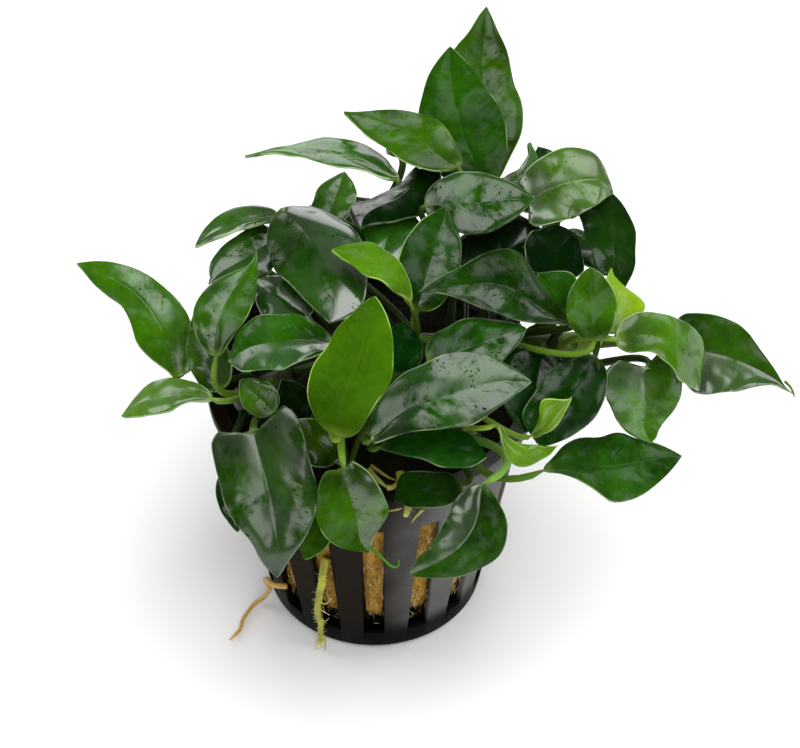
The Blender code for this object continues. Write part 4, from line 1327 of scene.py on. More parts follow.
@dataclass(frozen=True)
class StemFinish:
    """Skin of a rhizome or a root.

    Attributes:
        name: The record's slot.
        dark: Colour in the furrows.
        main: Main colour.
        tip: Colour of young ends.
        roughness: Roughness.
        tan: Colour where the skin has dried.
    """

    name: str
    dark: tuple
    main: tuple
    tip: tuple
    roughness: float
    tan: tuple = (0.560, 0.330, 0.110)

    def make(self, groups: NodeGroups) -> bpy.types.Material:
        """Build the material.

        Args:
            groups: The shared node groups.

        Returns:
            The material.
        """
        material, writer, shader = new_material(self.name)
        nature = writer.marks("stem_nature")
        blotches = groups.place(
            writer, GroupKind.MOTTLING, {"Scale": 320.0, "Fine Scale": 1500.0, "Contrast": 0.45}
        )
        colour = writer.blend(blotches.outputs["Mask"], (*self.dark, 1), (*self.main, 1))
        colour = writer.blend(nature.outputs[0], colour, (*self.tip, 1))
        colour = writer.blend(nature.outputs[1], colour, (*self.dark, 1))
        colour = writer.blend(nature.outputs[2], colour, (*self.tan, 1))
        writer.feed(shader.inputs["Base Color"], colour)
        writer.feed(
            shader.inputs["Roughness"],
            writer.plus(writer.times(blotches.outputs["Mask"], 0.2), self.roughness),
        )
        shader.inputs["Coat Roughness"].default_value = 0.15
        writer.feed(shader.inputs["Coat Weight"], writer.times(blotches.outputs["Mask"], 0.2))
        shader.inputs["Specular IOR Level"].default_value = 0.2
        writer.feed(shader.inputs["Normal"], bump(writer, writer.noise(1400.0, 3.0), 0.7, 0.0002))
        return material


LEAF_FINISHES = (
    LeafFinish(
        tone=DARK,
        deep=(0.0026, 0.0230, 0.0010),
        bright=(0.0088, 0.0680, 0.0024),
        vein=(0.0200, 0.0800, 0.0100),
        midrib=(0.0120, 0.0560, 0.0060),
        rim=(0.2000, 0.2700, 0.1400),
        under=(0.0200, 0.0600, 0.0120),
        stalk=(0.0500, 0.1050, 0.0120),
    ),
    LeafFinish(
        tone=MID,
        deep=(0.0105, 0.0850, 0.0014),
        bright=(0.0270, 0.2050, 0.0030),
        vein=(0.0600, 0.2000, 0.0200),
        midrib=(0.0500, 0.2100, 0.0120),
        rim=(0.2600, 0.3900, 0.1400),
        under=(0.0500, 0.1300, 0.0200),
        stalk=(0.1200, 0.2300, 0.0200),
    ),
    LeafFinish(
        tone=LIME,
        deep=(0.0500, 0.2000, 0.0020),
        bright=(0.1000, 0.3400, 0.0040),
        vein=(0.1700, 0.3900, 0.0200),
        midrib=(0.1900, 0.4200, 0.0300),
        rim=(0.3400, 0.5200, 0.1000),
        under=(0.1400, 0.2900, 0.0300),
        stalk=(0.2200, 0.3700, 0.0400),
        warmth=1.2,
        dry=0.7,
        wet=0.45,
        coat=0.3,
    ),
)
RHIZOME_FINISH = StemFinish(
    name="rhizome",
    dark=(0.012, 0.010, 0.003),
    main=(0.052, 0.056, 0.012),
    tip=(0.240, 0.360, 0.060),
    roughness=0.45,
)
ROOT_FINISH = StemFinish(
    name="root",
    dark=(0.200, 0.190, 0.015),
    main=(0.380, 0.390, 0.035),
    tip=(0.700, 0.660, 0.260),
    roughness=0.40,
)


class Palette:
    """All the finished materials."""

    def __init__(self) -> None:
        """Build the node groups and the materials."""
        groups = NodeGroups()
        self.leaves = {finish.tone: finish.make(groups) for finish in LEAF_FINISHES}
        self.pot = PotFinish().make(groups)
        self.wool = WoolFinish().make(groups)
        self.rhizome = RHIZOME_FINISH.make(groups)
        self.root = ROOT_FINISH.make(groups)


# ---- Sub-assemblies ----


@dataclass
class PotShape:
    """The form of the net pot, shared with the plug that fills it.

    Attributes:
        bottom_radius: Outer radius of the wall at the foot.
        top_radius: Outer radius of the wall at the rim.
        height: Full height.
        wall: Wall thickness.
        floor: Floor thickness.
        rim_radius: Outer radius of the rim.
        rim_height: Height of the rim's flange.
        slots: Number of slots in the wall.
        slot_width: Width of a slot.
        slot_low: Height of a slot's lower end.
        slot_high: Height of a slot's upper end.
        floor_slots: Number of slots in the floor.
        floor_slot_width: Width of a floor slot.
        floor_slot_from: Radius where a floor slot starts.
        floor_slot_to: Radius where it ends.
        clearance: Room between the wall and the plug.
    """

    bottom_radius: float = 17.5
    top_radius: float = 25.0
    height: float = 46.0
    wall: float = 1.2
    floor: float = 1.6
    rim_radius: float = 26.2
    rim_height: float = 1.8
    slots: int = 16
    slot_width: float = 3.3
    slot_low: float = 4.5
    slot_high: float = 35.5
    floor_slots: int = 8
    floor_slot_width: float = 2.4
    floor_slot_from: float = 7.0
    floor_slot_to: float = 14.0
    clearance: float = 0.3

    def radius(self, height):
        """Outer radius of the wall at a height."""
        return self.bottom_radius + (self.top_radius - self.bottom_radius) * height / self.height


@dataclass
class NetPot:
    """The slotted pot of black plastic.

    Attributes:
        shape: Its form.
        segments: Facets round it.
        edge: Radius of its rounded edges.
    """

    shape: PotShape
    segments: int = 192
    edge: float = 0.28

    def shell(self) -> bpy.types.Object:
        """Turn the pot's section round its axis.

        Returns:
            The shell without its slots.
        """
        shape = self.shape
        under = shape.height - shape.rim_height
        section = [
            (shape.radius(shape.floor) - shape.wall, shape.floor),
            (shape.radius(shape.height) - shape.wall, shape.height),
            (shape.rim_radius, shape.height),
            (shape.rim_radius, under),
            (shape.radius(under), under),
            (shape.radius(0.6), 0.6),
            (shape.bottom_radius - 0.6, 0.0),
        ]
        bm = bmesh.new()
        rings = []
        for radius, height in section:
            ring = []
            for index in range(self.segments):
                angle = 2 * math.pi * index / self.segments
                place = (radius * MM * math.sin(angle), -radius * MM * math.cos(angle), height * MM)
                ring.append(bm.verts.new(place))
            rings.append(ring)
        for upper, lower in zip(rings, rings[1:]):
            for index in range(self.segments):
                after = (index + 1) % self.segments
                bm.faces.new((upper[index], lower[index], lower[after], upper[after]))
        bm.faces.new(rings[0])
        bm.faces.new(list(reversed(rings[-1])))
        bmesh.ops.recalc_face_normals(bm, faces=bm.faces)
        return self.to_object("net_pot_shell", bm)

    def slot_cutter(self) -> bpy.types.Object:
        """The boxes that cut the slots of the wall and the floor.

        Returns:
            One mesh with all the boxes.
        """
        shape = self.shape
        bm = bmesh.new()
        height = shape.slot_high - shape.slot_low
        for index in range(shape.slots):
            spin = Matrix.Rotation(2 * math.pi * index / shape.slots, 4, "Z")
            centre = Vector((0, -shape.top_radius, shape.slot_low + height / 2)) * MM
            self.add_box(bm, centre, Vector((shape.slot_width, 20.0, height)) * MM, spin)
        reach = shape.floor_slot_to - shape.floor_slot_from
        for index in range(shape.floor_slots):
            spin = Matrix.Rotation(2 * math.pi * (index + 0.5) / shape.floor_slots, 4, "Z")
            centre = Vector((0, -shape.floor_slot_from - reach / 2, shape.floor / 2)) * MM
            size = Vector((shape.floor_slot_width, reach, shape.floor * 2)) * MM
            self.add_box(bm, centre, size, spin)
        return self.to_object("slot_cutter", bm)

    @staticmethod
    def add_box(bm: bmesh.types.BMesh, centre: Vector, size: Vector, spin: Matrix) -> None:
        """Add a box, turned round the pot's axis."""
        place = spin @ Matrix.Translation(centre) @ Matrix.Diagonal((*size, 1.0))
        bmesh.ops.create_cube(bm, size=1.0, matrix=place)

    @staticmethod
    def to_object(name: str, bm: bmesh.types.BMesh) -> bpy.types.Object:
        """Turn an edit mesh into an object of the scene."""
        mesh = bpy.data.meshes.new(name)
        bm.to_mesh(mesh)
        bm.free()
        item = bpy.data.objects.new(name, mesh)
        bpy.context.scene.collection.objects.link(item)
        return item

    def build(self, material: bpy.types.Material) -> bpy.types.Object:
        """Build the pot.

        Args:
            material: Its finish.

        Returns:
            The finished piece.
        """
        shell, cutter = self.shell(), self.slot_cutter()
        cutting = shell.modifiers.new("slots", "BOOLEAN")
        cutting.operation = "DIFFERENCE"
        cutting.solver = "EXACT"
        cutting.object = cutter
        rounding = shell.modifiers.new("edges", "BEVEL")
        rounding.width = self.edge * MM
        rounding.segments = 3
        rounding.limit_method = "ANGLE"
        rounding.angle_limit = math.radians(28)
        rounding.harden_normals = False
        graph = bpy.context.evaluated_depsgraph_get()
        mesh = bpy.data.meshes.new_from_object(shell.evaluated_get(graph))
        for item in (shell, cutter):
            bpy.data.objects.remove(item)
        mesh.name = "black_net_pot"
        mesh.materials.clear()
        mesh.materials.append(material)
        mesh.polygons.foreach_set("use_smooth", [True] * len(mesh.polygons))
        mesh.set_sharp_from_angle(angle=math.radians(50))
        pot = bpy.data.objects.new("black_net_pot", mesh)
        bpy.context.scene.collection.objects.link(pot)
        return install(pot, "pot_plastic", "net_pot")


@dataclass
class WoolPlug:
    """The plug of mineral wool, with loose fibres over its top and in the slots.

    Attributes:
        shape: The form of the pot that it fills.
        foot_radius: Radius of its worn foot.
        corner_height: Where its side starts.
        edge_height: Where its side ends.
        top: Height of its crown.
        columns: Points round it.
        bulge: How far it swells into the slots.
        side_fibres: Loose fibres in the slots.
        top_fibres: Loose fibres over the top.
        slot_reach: How far from a slot's middle a fibre starts.
        top_reach: How far from the axis a fibre of the top starts.
        top_limit: How far from the axis it may end.
    """

    shape: PotShape
    foot_radius: float = 12.0
    corner_height: float = 9.0
    edge_height: float = 43.5
    top: float = 48.0
    columns: int = 320
    bulge: float = 0.9
    side_fibres: int = 3600
    top_fibres: int = 2400
    slot_reach: float = 1.45
    top_reach: float = 22.6
    top_limit: float = 22.8

    def inner_radius(self, height: np.ndarray) -> np.ndarray:
        """Radius of the plug's side at a height."""
        return self.shape.radius(height) - self.shape.wall - self.shape.clearance

    def profile(self) -> tuple[np.ndarray, np.ndarray]:
        """Radius and height from the crown down to the foot."""
        floor = self.shape.floor + self.shape.clearance
        corners = np.array(
            [
                (0.4, self.top),
                (9.0, self.top - 0.6),
                (17.0, self.top - 2.0),
                (float(self.inner_radius(self.edge_height)), self.edge_height),
                (float(self.inner_radius(self.corner_height)), self.corner_height),
                (self.foot_radius, floor),
                (0.4, floor),
            ]
        )
        steps = (8, 8, 8, 62, 14, 8)
        rows = []
        for start, end, count in zip(corners, corners[1:], steps):
            rows.extend(start + (end - start) * step / count for step in range(count))
        rows.append(corners[-1])
        rows = np.array(rows)
        return rows[:, 0], rows[:, 1]

    def slot_share(self, angle: np.ndarray, radius: np.ndarray) -> np.ndarray:
        """How far inside a slot an angle lies: 1 at its middle, 0 at its edge and beyond."""
        pitch = 2 * math.pi / self.shape.slots
        away = np.abs((angle + pitch / 2) % pitch - pitch / 2) * radius
        return np.clip(1 - away / (self.shape.slot_width / 2 - 0.1), 0.0, 1.0)

    def body(self, parts: MeshParts) -> None:
        """Add the plug's lumpy body."""
        radius, height = self.profile()
        angle = np.arange(self.columns) * 2 * math.pi / self.columns
        grid_radius = np.repeat(radius[:, None], self.columns, axis=1)
        grid_height = np.repeat(height[:, None], self.columns, axis=1)
        lumps = np.empty_like(grid_radius)
        for row, (r, z) in enumerate(zip(radius, height)):
            for column, a in enumerate(angle):
                place = Vector((r * math.sin(a), -r * math.cos(a), z))
                coarse = noise.noise(place * 0.35)
                fine = noise.noise(place * 1.1 + Vector((7, 3, 1)))
                lumps[row, column] = 0.55 * coarse + 0.35 * fine
        in_slot = self.slot_share(angle[None, :], grid_radius)
        on_side = smoothstep(grid_height, self.shape.slot_low, self.shape.slot_low + 3)
        on_side *= 1 - smoothstep(grid_height, self.shape.slot_high - 1.5, self.shape.slot_high)
        swell = np.sqrt(in_slot) * on_side * self.bulge * (0.55 + 0.45 * np.tanh(lumps * 3))
        sink = -0.12 - 0.5 * np.clip(-lumps, 0, 1) * on_side
        reach = grid_radius + np.where(grid_radius > 11, swell + sink * on_side, 0)
        rise = np.where(grid_radius < 18, lumps * 0.9, 0) * (grid_height > 40)
        rings = np.stack(
            [reach * np.sin(angle)[None, :], -reach * np.cos(angle)[None, :], grid_height + rise], axis=-1
        )
        nature = np.zeros_like(rings)
        nature[..., 0] = np.clip(lumps, 0, 1) * 0.8
        parts.add_loft(rings[::-1], fibre_nature=nature[::-1])

    def fibres(self, parts: MeshParts, rng: np.random.Generator) -> None:
        """Add loose fibres, thin tapered slivers that lie on the body."""
        for index in range(self.side_fibres + self.top_fibres):
            if index < self.side_fibres:
                pitch = 2 * math.pi / self.shape.slots
                height = rng.uniform(self.shape.slot_low + 1.5, self.shape.slot_high - 0.8)
                base = float(self.inner_radius(height))
                offset = rng.uniform(-self.slot_reach, self.slot_reach)
                angle = pitch * rng.integers(self.shape.slots) + offset / base
                length = rng.uniform(0.8, 2.6)
                lean = rng.normal(0, 0.75)
                room = (self.shape.slot_width / 2 - 0.15 - abs(offset)) * 2
                sideways = np.clip(math.sin(lean) * length, -room, room)
                out = np.array([math.sin(angle), -math.cos(angle), 0.0])
                over = np.array([math.cos(angle), math.sin(angle), 0.0])
                start = out * (base + rng.uniform(0.0, 0.75)) + np.array([0, 0, height])
                end = start + over * sideways / 2 + np.array([0, 0, math.cos(lean) * length])
                end[2] = min(end[2], self.shape.slot_high - 0.4)
                arch = out * rng.uniform(0.0, 0.25)
            else:
                angle = rng.uniform(0, 2 * math.pi)
                away = self.top_reach * math.sqrt(rng.uniform(0.0, 1.0))
                height = self.top - 0.2 - 3.6 * (away / self.top_reach) ** 2.6
                start = np.array([away * math.sin(angle), -away * math.cos(angle), height])
                turn = rng.uniform(0, 2 * math.pi)
                length = rng.uniform(1.2, 4.5)
                end = start + np.array([math.cos(turn), math.sin(turn), rng.uniform(-0.05, 0.12)]) * length
                end[:2] *= min(1.0, self.top_limit / max(float(np.hypot(*end[:2])), 0.01))
                arch = np.array([0, 0, rng.uniform(0.1, 0.7)])
            share = np.array([0.0, 0.5, 1.0])[:, None]
            course = start + (end - start) * share + arch * 4 * share * (1 - share)
            thick = rng.uniform(0.035, 0.085)
            paleness = rng.uniform(0, 1) ** 1.5
            parts.add_tube(course, thick * np.array([0.6, 1.0, 0.3]), 3, fibre_nature=(paleness, 0, 0))

    def build(self, material: bpy.types.Material, rng: np.random.Generator) -> bpy.types.Object:
        """Build the plug.

        Args:
            material: Its finish.
            rng: Source of the fibres' places.

        Returns:
            The finished piece.
        """
        parts = MeshParts()
        self.body(parts)
        self.fibres(parts, rng)
        return install(parts.build("mineral_wool", [material]), "wool", "wool_plug")


@dataclass
class Rhizome:
    """A creeping stem with the rings that old leaves left.

    Attributes:
        stem: Which stem.
        radius: Its radius at the old end.
        points: Its course.
        sides: Points round it.
        ring_pitch: Distance between leaf scars.
        ring_depth: Depth of a scar, as a share of the radius.
        lumpiness: Height of its lumps, as a share of the radius.
    """

    stem: Stem
    radius: float
    points: tuple
    sides: int = 28
    ring_pitch: float = 2.6
    ring_depth: float = 0.10
    lumpiness: float = 0.07

    def course(self, steps: int) -> np.ndarray:
        """The stem's course as a curve."""
        return smooth_course(np.array(self.points, float), steps)

    def at(self, along: float) -> tuple[np.ndarray, np.ndarray]:
        """The point and the direction at a share of the length."""
        course = self.course(6)
        place = along * (len(course) - 1)
        index = min(int(place), len(course) - 2)
        step = course[index + 1] - course[index]
        return course[index] + step * (place - index), unit(step)

    def build(self, material: bpy.types.Material) -> bpy.types.Object:
        """Build the stem.

        Args:
            material: Its finish.

        Returns:
            The finished piece.
        """
        course = self.course(14)
        lengths = np.concatenate([[0], np.cumsum(np.linalg.norm(np.diff(course, axis=0), axis=1))])
        share = lengths / lengths[-1]
        radius = self.radius * (1.0 - RHIZOME_TAPER * share)
        rings = np.abs(np.sin(np.pi * lengths / self.ring_pitch)) ** 0.35
        radius = radius * (1 - self.ring_depth + self.ring_depth * rings)
        ends = np.minimum(lengths, lengths[-1] - lengths)
        radius = radius * np.sqrt(np.clip(0.15 + ends / 1.6, 0, 1))
        angles = np.arange(self.sides) * 2 * math.pi / self.sides
        lumps = np.array(
            [
                [
                    noise.noise(Vector((math.cos(a) * 1.3, math.sin(a) * 1.3, float(s) * 0.9)))
                    for a in angles
                ]
                for s in lengths
            ]
        )
        radii = radius[:, None] * (1 + self.lumpiness * lumps)
        nature = np.stack([smoothstep(share, 0.82, 1.0), 0.7 * (1 - rings), np.zeros_like(share)], axis=-1)
        parts = MeshParts()
        parts.add_tube(course, radii, self.sides, stem_nature=nature)
        name = f"creeping_{self.stem.value}"
        return install(parts.build(name, [material]), "rhizome", self.stem.value)


@dataclass
class Root:
    """A thin root with a hairy skin and small side roots.

    Attributes:
        name: The name of its solid.
        radius: Its radius at the start.
        points: Its course.
        young: Share of its length, from the tip, that is pale and young.
        dried: How tan its skin has dried, from 0 to 1.
        hairs: Number of root hairs.
        side_roots: Points of each side root, with its radius at the end.
    """

    name: str
    radius: float
    points: tuple
    young: float = 0.15
    dried: float = 0.0
    hairs: int = 0
    side_roots: tuple = ()

    def stray(self, share: float) -> list:
        """How far it strays in x, y and z at a share of its length, before scaling."""
        places = (Vector((share * 9 + k * 5, k * 3.1, self.radius)) for k in range(3))
        return [noise.noise(place) for place in places]

    def build(self, material: bpy.types.Material, rng: np.random.Generator) -> bpy.types.Object:
        """Build the root.

        Args:
            material: Its finish.
            rng: Source of its unevenness.

        Returns:
            The finished piece.
        """
        course = smooth_course(np.array(self.points, float), 10)
        share = np.linspace(0, 1, len(course))
        wander = np.array([self.stray(float(s)) for s in share])
        course = course + wander * 0.35 * self.radius
        radius = self.radius * (1 - ROOT_TAPER * share) * (1 + 0.12 * wander[:, 0])
        radius = radius * np.sqrt(np.clip((1 - share) * 12 + 0.05, 0, 1))
        nature = np.zeros((len(course), 3))
        nature[:, 0] = smoothstep(share, 1 - self.young * 1.6, 1 - self.young * 0.4)
        nature[:, 2] = self.dried
        parts = MeshParts()
        parts.add_tube(course, radius, 14, stem_nature=nature)
        for side in self.side_roots:
            branch = smooth_course(np.array(side[:-1], float), 6)
            fade = np.linspace(1, 0.25, len(branch))
            pale = 0.8 if side[-1] < 0.3 else 0.15
            parts.add_tube(branch, side[-1] * fade, 8, stem_nature=(pale, 0, 0))
        for _ in range(self.hairs):
            index = rng.integers(int(len(course) * 0.1), len(course) - 2)
            direction = unit(rng.normal(size=3))
            length = self.radius * rng.uniform(0.5, 1.5)
            start = course[index] + direction * radius[index] * 0.6
            end = start + direction * length + rng.normal(size=3) * 0.1
            end[2] = max(end[2], 0.05)
            hair = np.array([start, (start + end) / 2 + rng.normal(size=3) * 0.05, end])
            parts.add_tube(hair, np.array([0.035, 0.028, 0.012]), 3, stem_nature=(0.9, 0, 0))
        return install(parts.build(f"fine_{self.name}", [material]), "root", self.name)


# Forms that all leaves share, in millimetres where nothing else is said.
SWELLS = ((12.0, 0.22), (7.0, 0.14), (4.4, 0.075), (2.9, 0.035))  # length and height of soft swells
OUTLINE_WAVES = ((0.035, 1.2), (0.02, 2.4), (0.012, 4.1))  # share of the half width, waves per blade
EDGE_CALM = 0.4  # how much of the outline's waves is left where EDGES gives the edge
EDGE_BLUR = 0.04  # how far along the blade a corner of EDGES is rounded, from 0 to 1
RIPPLES = 1.5  # waves along the edges of a rippled blade
LAST_RING = 0.9985  # where the last ring lies, as a share of the blade's length
PILLOW = 0.05  # how far each half is domed, as a share of the half width
TIP_DROOP = 0.015  # how far the tip sinks, as a share of the blade's length
RIM_POWER = 8  # how late the blade's section rounds off towards its edge
GROOVE_DEPTH, GROOVE_WIDTH = 0.032, 0.34  # of the midrib, on the upper side
KEEL_LEAST, KEEL_WIDTH = 0.06, 0.5  # of the midrib, on the underside
STALK_LEAST, STALK_MOST, STALK_GROWTH = 0.28, 0.52, 0.018  # radius, and its gain with the blade's width
STALK_START = 0.55  # how deep in the rhizome a stalk starts, as a share of its radius
STALK_TAPER, STALK_FLARE, FLARE_LENGTH = 0.25, 0.75, 0.09  # shares of the radius, and of the length
FAR_FROM_EDGE = 5.0  # what stalks and curls give as their distance from a blade's edge


@dataclass
class LeafShape:
    """One leaf: a round stalk that broadens at its foot, and a blade with a grooved midrib.

    Attributes:
        plan: Its plan.
        foot: Centre of the rhizome where the stalk starts.
        stem_direction: Direction of the rhizome there.
        stem_radius: Radius of the rhizome.
        base: Where the blade starts.
        tip: Where it ends.
        rng: Source of its own unevenness.
        look: How light its green is, as a share of its finish's (partly its own tone, partly painted light
            and shade), how wet it is and how far it leans to yellow.
        edges: Where its left and its right edge lie at EDGE_STATIONS, if they aren't even.
        lobes: How far its left and its right corner reach back past the base.
        half_wet: Share of the film that its left and its right half keep.
        stalk_light: How light its stalk is, as a share of its finish's stalk colour: painted light and shade.
        curl: Places and radius of its curled tip, if it has one.
        thickness: Thickness of the blade.
        stalk_rings: Rings along the stalk.
        blade_rings: Rings along the blade.
    """

    plan: LeafPlan
    foot: np.ndarray
    stem_direction: np.ndarray
    stem_radius: float
    base: np.ndarray
    tip: np.ndarray
    rng: np.random.Generator
    look: tuple = PLAIN_LOOK
    edges: tuple = ()
    lobes: tuple = (0.0, 0.0)
    half_wet: tuple = (1.0, 1.0)
    stalk_light: float = STALK_IN_SHADE
    curl: tuple = ()
    thickness: float = 0.5
    stalk_rings: int = 15
    blade_rings: int = 44

    def __post_init__(self) -> None:
        """Work out the blade's own directions and its unevenness."""
        self.length = float(np.linalg.norm(self.tip - self.base))
        self.axis = (self.tip - self.base) / self.length
        heading, tilt = (math.radians(value) for value in self.plan.face)
        level = math.cos(tilt)
        up = np.array([math.sin(heading) * level, -math.cos(heading) * level, math.sin(tilt)])
        self.normal = square_to(up, self.axis)
        self.side = np.cross(self.axis, self.normal)
        self.stalk_radius = min(STALK_MOST, STALK_LEAST + self.plan.width * STALK_GROWTH)
        turn = 2 * math.pi
        self.swells = [
            (turn / wave_length, self.rng.uniform(0, turn), unit(self.rng.normal(size=2)), height)
            for wave_length, height in SWELLS
        ]
        self.edge_waves = [
            (self.rng.uniform(0.12, 0.38), self.rng.uniform(1.3, 3.4), self.rng.uniform(0, turn))
            for _ in range(2)
        ]
        self.outline_waves = [
            [(size, rate, self.rng.uniform(0, turn)) for size, rate in OUTLINE_WAVES]
            for _ in range(2)
        ]

    def columns(self) -> np.ndarray:
        """Places across the blade, from -1 at the left edge to 1 at the right edge."""
        half = [0.03, 0.065, 0.11, 0.17, 0.25, 0.34, 0.44, 0.54, 0.64, 0.74, 0.83, 0.90, 0.95, 0.985, 1.0]
        return np.array([-value for value in reversed(half)] + [0.0] + half)

    def undulation(self, x: np.ndarray, y: np.ndarray) -> np.ndarray:
        """Height of the blade's soft swells at places across and along it."""
        total = np.zeros_like(x)
        for rate, phase, heading, height in self.swells:
            total += height * np.sin(rate * (x * heading[0] + y * heading[1]) + phase)
        return total

    def edge_places(self, t: float) -> tuple[float, float]:
        """Where the two edges lie at t, as shares of the outline's half width."""
        places = []
        for side, waves in enumerate(self.outline_waves):
            wander = sum(size * math.sin(2 * math.pi * rate * t + phase) for size, rate, phase in waves)
            place = 1.0
            if self.edges:
                near = np.interp([t - EDGE_BLUR, t, t + EDGE_BLUR], EDGE_STATIONS, self.edges[side])
                place = float(np.mean(near))
                wander *= EDGE_CALM
            places.append(place + wander)
        return places[0], places[1]

    def blade(self) -> tuple[np.ndarray, np.ndarray, np.ndarray]:
        """The rings of the blade.

        Returns:
            Rings of points, their places on the leaf, and their nature.
        """
        plan = self.plan
        columns = self.columns()
        linear = np.linspace(-1, 1, len(columns))
        rows = (1 - np.cos(np.linspace(0, np.pi, self.blade_rings))) / 2
        rows[-1] = LAST_RING
        rings, places, natures = [], [], []
        tint = float(self.rng.uniform(0, 1))
        for t in rows:
            bulge = 4 * t * (1 - t)
            slope = 4 * (1 - 2 * t) / self.length
            bend = self.normal * plan.arch + self.side * plan.sweep
            centre = self.base + self.axis * self.length * t + bend * bulge
            along = unit(self.axis + bend * slope)
            across = square_to(self.side, along)
            over = np.cross(across, along)
            outline = float(plan.outline.half_width(np.array(t)))
            half = max(plan.width / 2 * outline, self.stalk_radius * (1 - t) ** 2, 0.04)
            into = smoothstep(np.array(t), 0.0, 0.04)
            left, right = self.edge_places(float(t))
            shift = MIDRIB_PULL * (right - left) / 2
            reach = half * np.where(columns < 0, left + shift, right - shift)
            x = reach * (columns * into + np.sin(linear * np.pi / 2) * (1 - into))
            centre = centre + across * (shift * half)
            ripple = plan.wave * math.sin(2 * math.pi * RIPPLES * t)
            spread = np.abs(columns)
            lift = (plan.fold * half + np.sign(columns) * ripple) * spread**1.5
            for sign, (height, rate, phase) in zip((-1, 1), self.edge_waves):
                own = np.sign(columns) == sign
                lift = lift + own * height * math.sin(2 * math.pi * rate * t + phase) * spread**3 * outline
            lift = lift + self.undulation(x, np.full_like(x, t * self.length)) * spread**0.6 * outline
            lift = lift + PILLOW * half * np.sin(np.pi * spread)
            lift = lift - smoothstep(np.array(t), 0.78, 1.0) * self.length * TIP_DROOP
            round_edge = np.sqrt(np.maximum(1 - spread**RIM_POWER, 0.0)) * self.thickness / 2
            stalk_curve = self.stalk_radius * np.cos(linear * np.pi / 2)
            groove = GROOVE_DEPTH * np.exp(-((x / GROOVE_WIDTH) ** 2)) * min(half / 2, 1.0)
            keel = (self.stalk_radius - self.thickness / 2) * (1 - t) ** 1.3 + KEEL_LEAST
            keel = keel * np.exp(-((x / KEEL_WIDTH) ** 2))
            top = lift + round_edge - groove
            bottom = lift - round_edge - keel
            flat_in = smoothstep(np.array(t), 0.0, 0.035)
            top = top * flat_in + stalk_curve * (1 - flat_in)
            bottom = bottom * flat_in - stalk_curve * (1 - flat_in)
            back = np.where(columns < 0, self.lobes[0], self.lobes[1]) * spread**0.7
            back = back * smoothstep(np.array(t), 0.0, 0.05) * (1 - smoothstep(np.array(t), 0.05, 0.35))
            row = centre + across * x[:, None] - along * back[:, None]
            upper = row + over * top[:, None]
            lower = row + over * bottom[:, None]
            ring = np.vstack([upper, lower[-2:0:-1]])
            x_ring = np.concatenate([x, x[-2:0:-1]])
            reach_ring = np.concatenate([reach, reach[-2:0:-1]])
            edge = np.maximum(reach_ring - np.abs(x_ring), 0.0)
            under = np.concatenate([np.zeros(len(x)), np.ones(len(x) - 2)])
            rings.append(ring)
            places.append(np.stack([x_ring, np.full_like(x_ring, t), edge], axis=-1))
            along_mm = np.full_like(x_ring, t * self.length)
            natures.append(np.stack([np.full_like(x_ring, tint), under, along_mm], axis=-1))
        return np.array(rings), np.array(places), np.array(natures)

    def stalk(self) -> tuple[np.ndarray, np.ndarray, np.ndarray]:
        """The rings of the stalk, from inside the rhizome to the blade.

        Returns:
            Rings of points, their places on the leaf, and their nature.
        """
        bow = np.array(self.plan.bow, float)
        outward = square_to(self.base - self.foot, self.stem_direction)
        start = self.foot + outward * self.stem_radius * STALK_START
        reach = float(np.linalg.norm(self.base - start))
        leave = outward * reach
        arrive = unit(self.axis + self.normal) * reach
        columns = len(self.columns())
        size = 2 * columns - 2
        linear = np.linspace(-1, 1, columns)
        angles = np.concatenate([linear * np.pi / 2, np.pi - linear[-2:0:-1] * np.pi / 2])
        rings = []
        shares = np.linspace(0, 1, self.stalk_rings + 1)[:-1]
        for s in shares:
            centre = (
                start * (2 * s**3 - 3 * s**2 + 1)
                + leave * (s**3 - 2 * s**2 + s)
                + self.base * (3 * s**2 - 2 * s**3)
                + arrive * (s**3 - s**2)
                + bow * 4 * s * (1 - s)
            )
            along = unit(
                start * (6 * s**2 - 6 * s)
                + leave * (3 * s**2 - 4 * s + 1)
                + self.base * (6 * s - 6 * s**2)
                + arrive * (3 * s**2 - 2 * s)
                + bow * 4 * (1 - 2 * s)
            )
            settle = smoothstep(np.array(s), 0.82, 1.0)
            along = unit(along * (1 - settle * 0.6) + self.axis * settle * 0.6)
            across = square_to(self.side, along)
            over = np.cross(across, along)
            flare = STALK_FLARE * math.exp(-s / FLARE_LENGTH)
            radius = self.stalk_radius * (1.05 + STALK_TAPER * (1 - s) + flare)
            circle = across * np.sin(angles)[:, None] + over * np.cos(angles)[:, None]
            rings.append(centre + circle * radius)
        places = np.zeros((len(rings), size, 3))
        places[..., 1] = shares[:, None] - 1.0
        places[..., 2] = FAR_FROM_EDGE
        return np.array(rings), places, np.zeros_like(places)

    def build(self, name: str, material: bpy.types.Material) -> bpy.types.Object:
        """Build the leaf's mesh.

        Args:
            name: The object's name.
            material: Its finish.

        Returns:
            The leaf.
        """
        blade, blade_places, blade_nature = self.blade()
        stalk, stalk_places, stalk_nature = self.stalk()
        stalk_nature[..., 0] = blade_nature[0, 0, 0]
        rings = np.concatenate([stalk, blade])
        looks = np.array(np.broadcast_to(self.look, rings.shape))
        looks[len(stalk) :, :, 1] *= np.where(blade_places[..., 0] < 0, *self.half_wet)
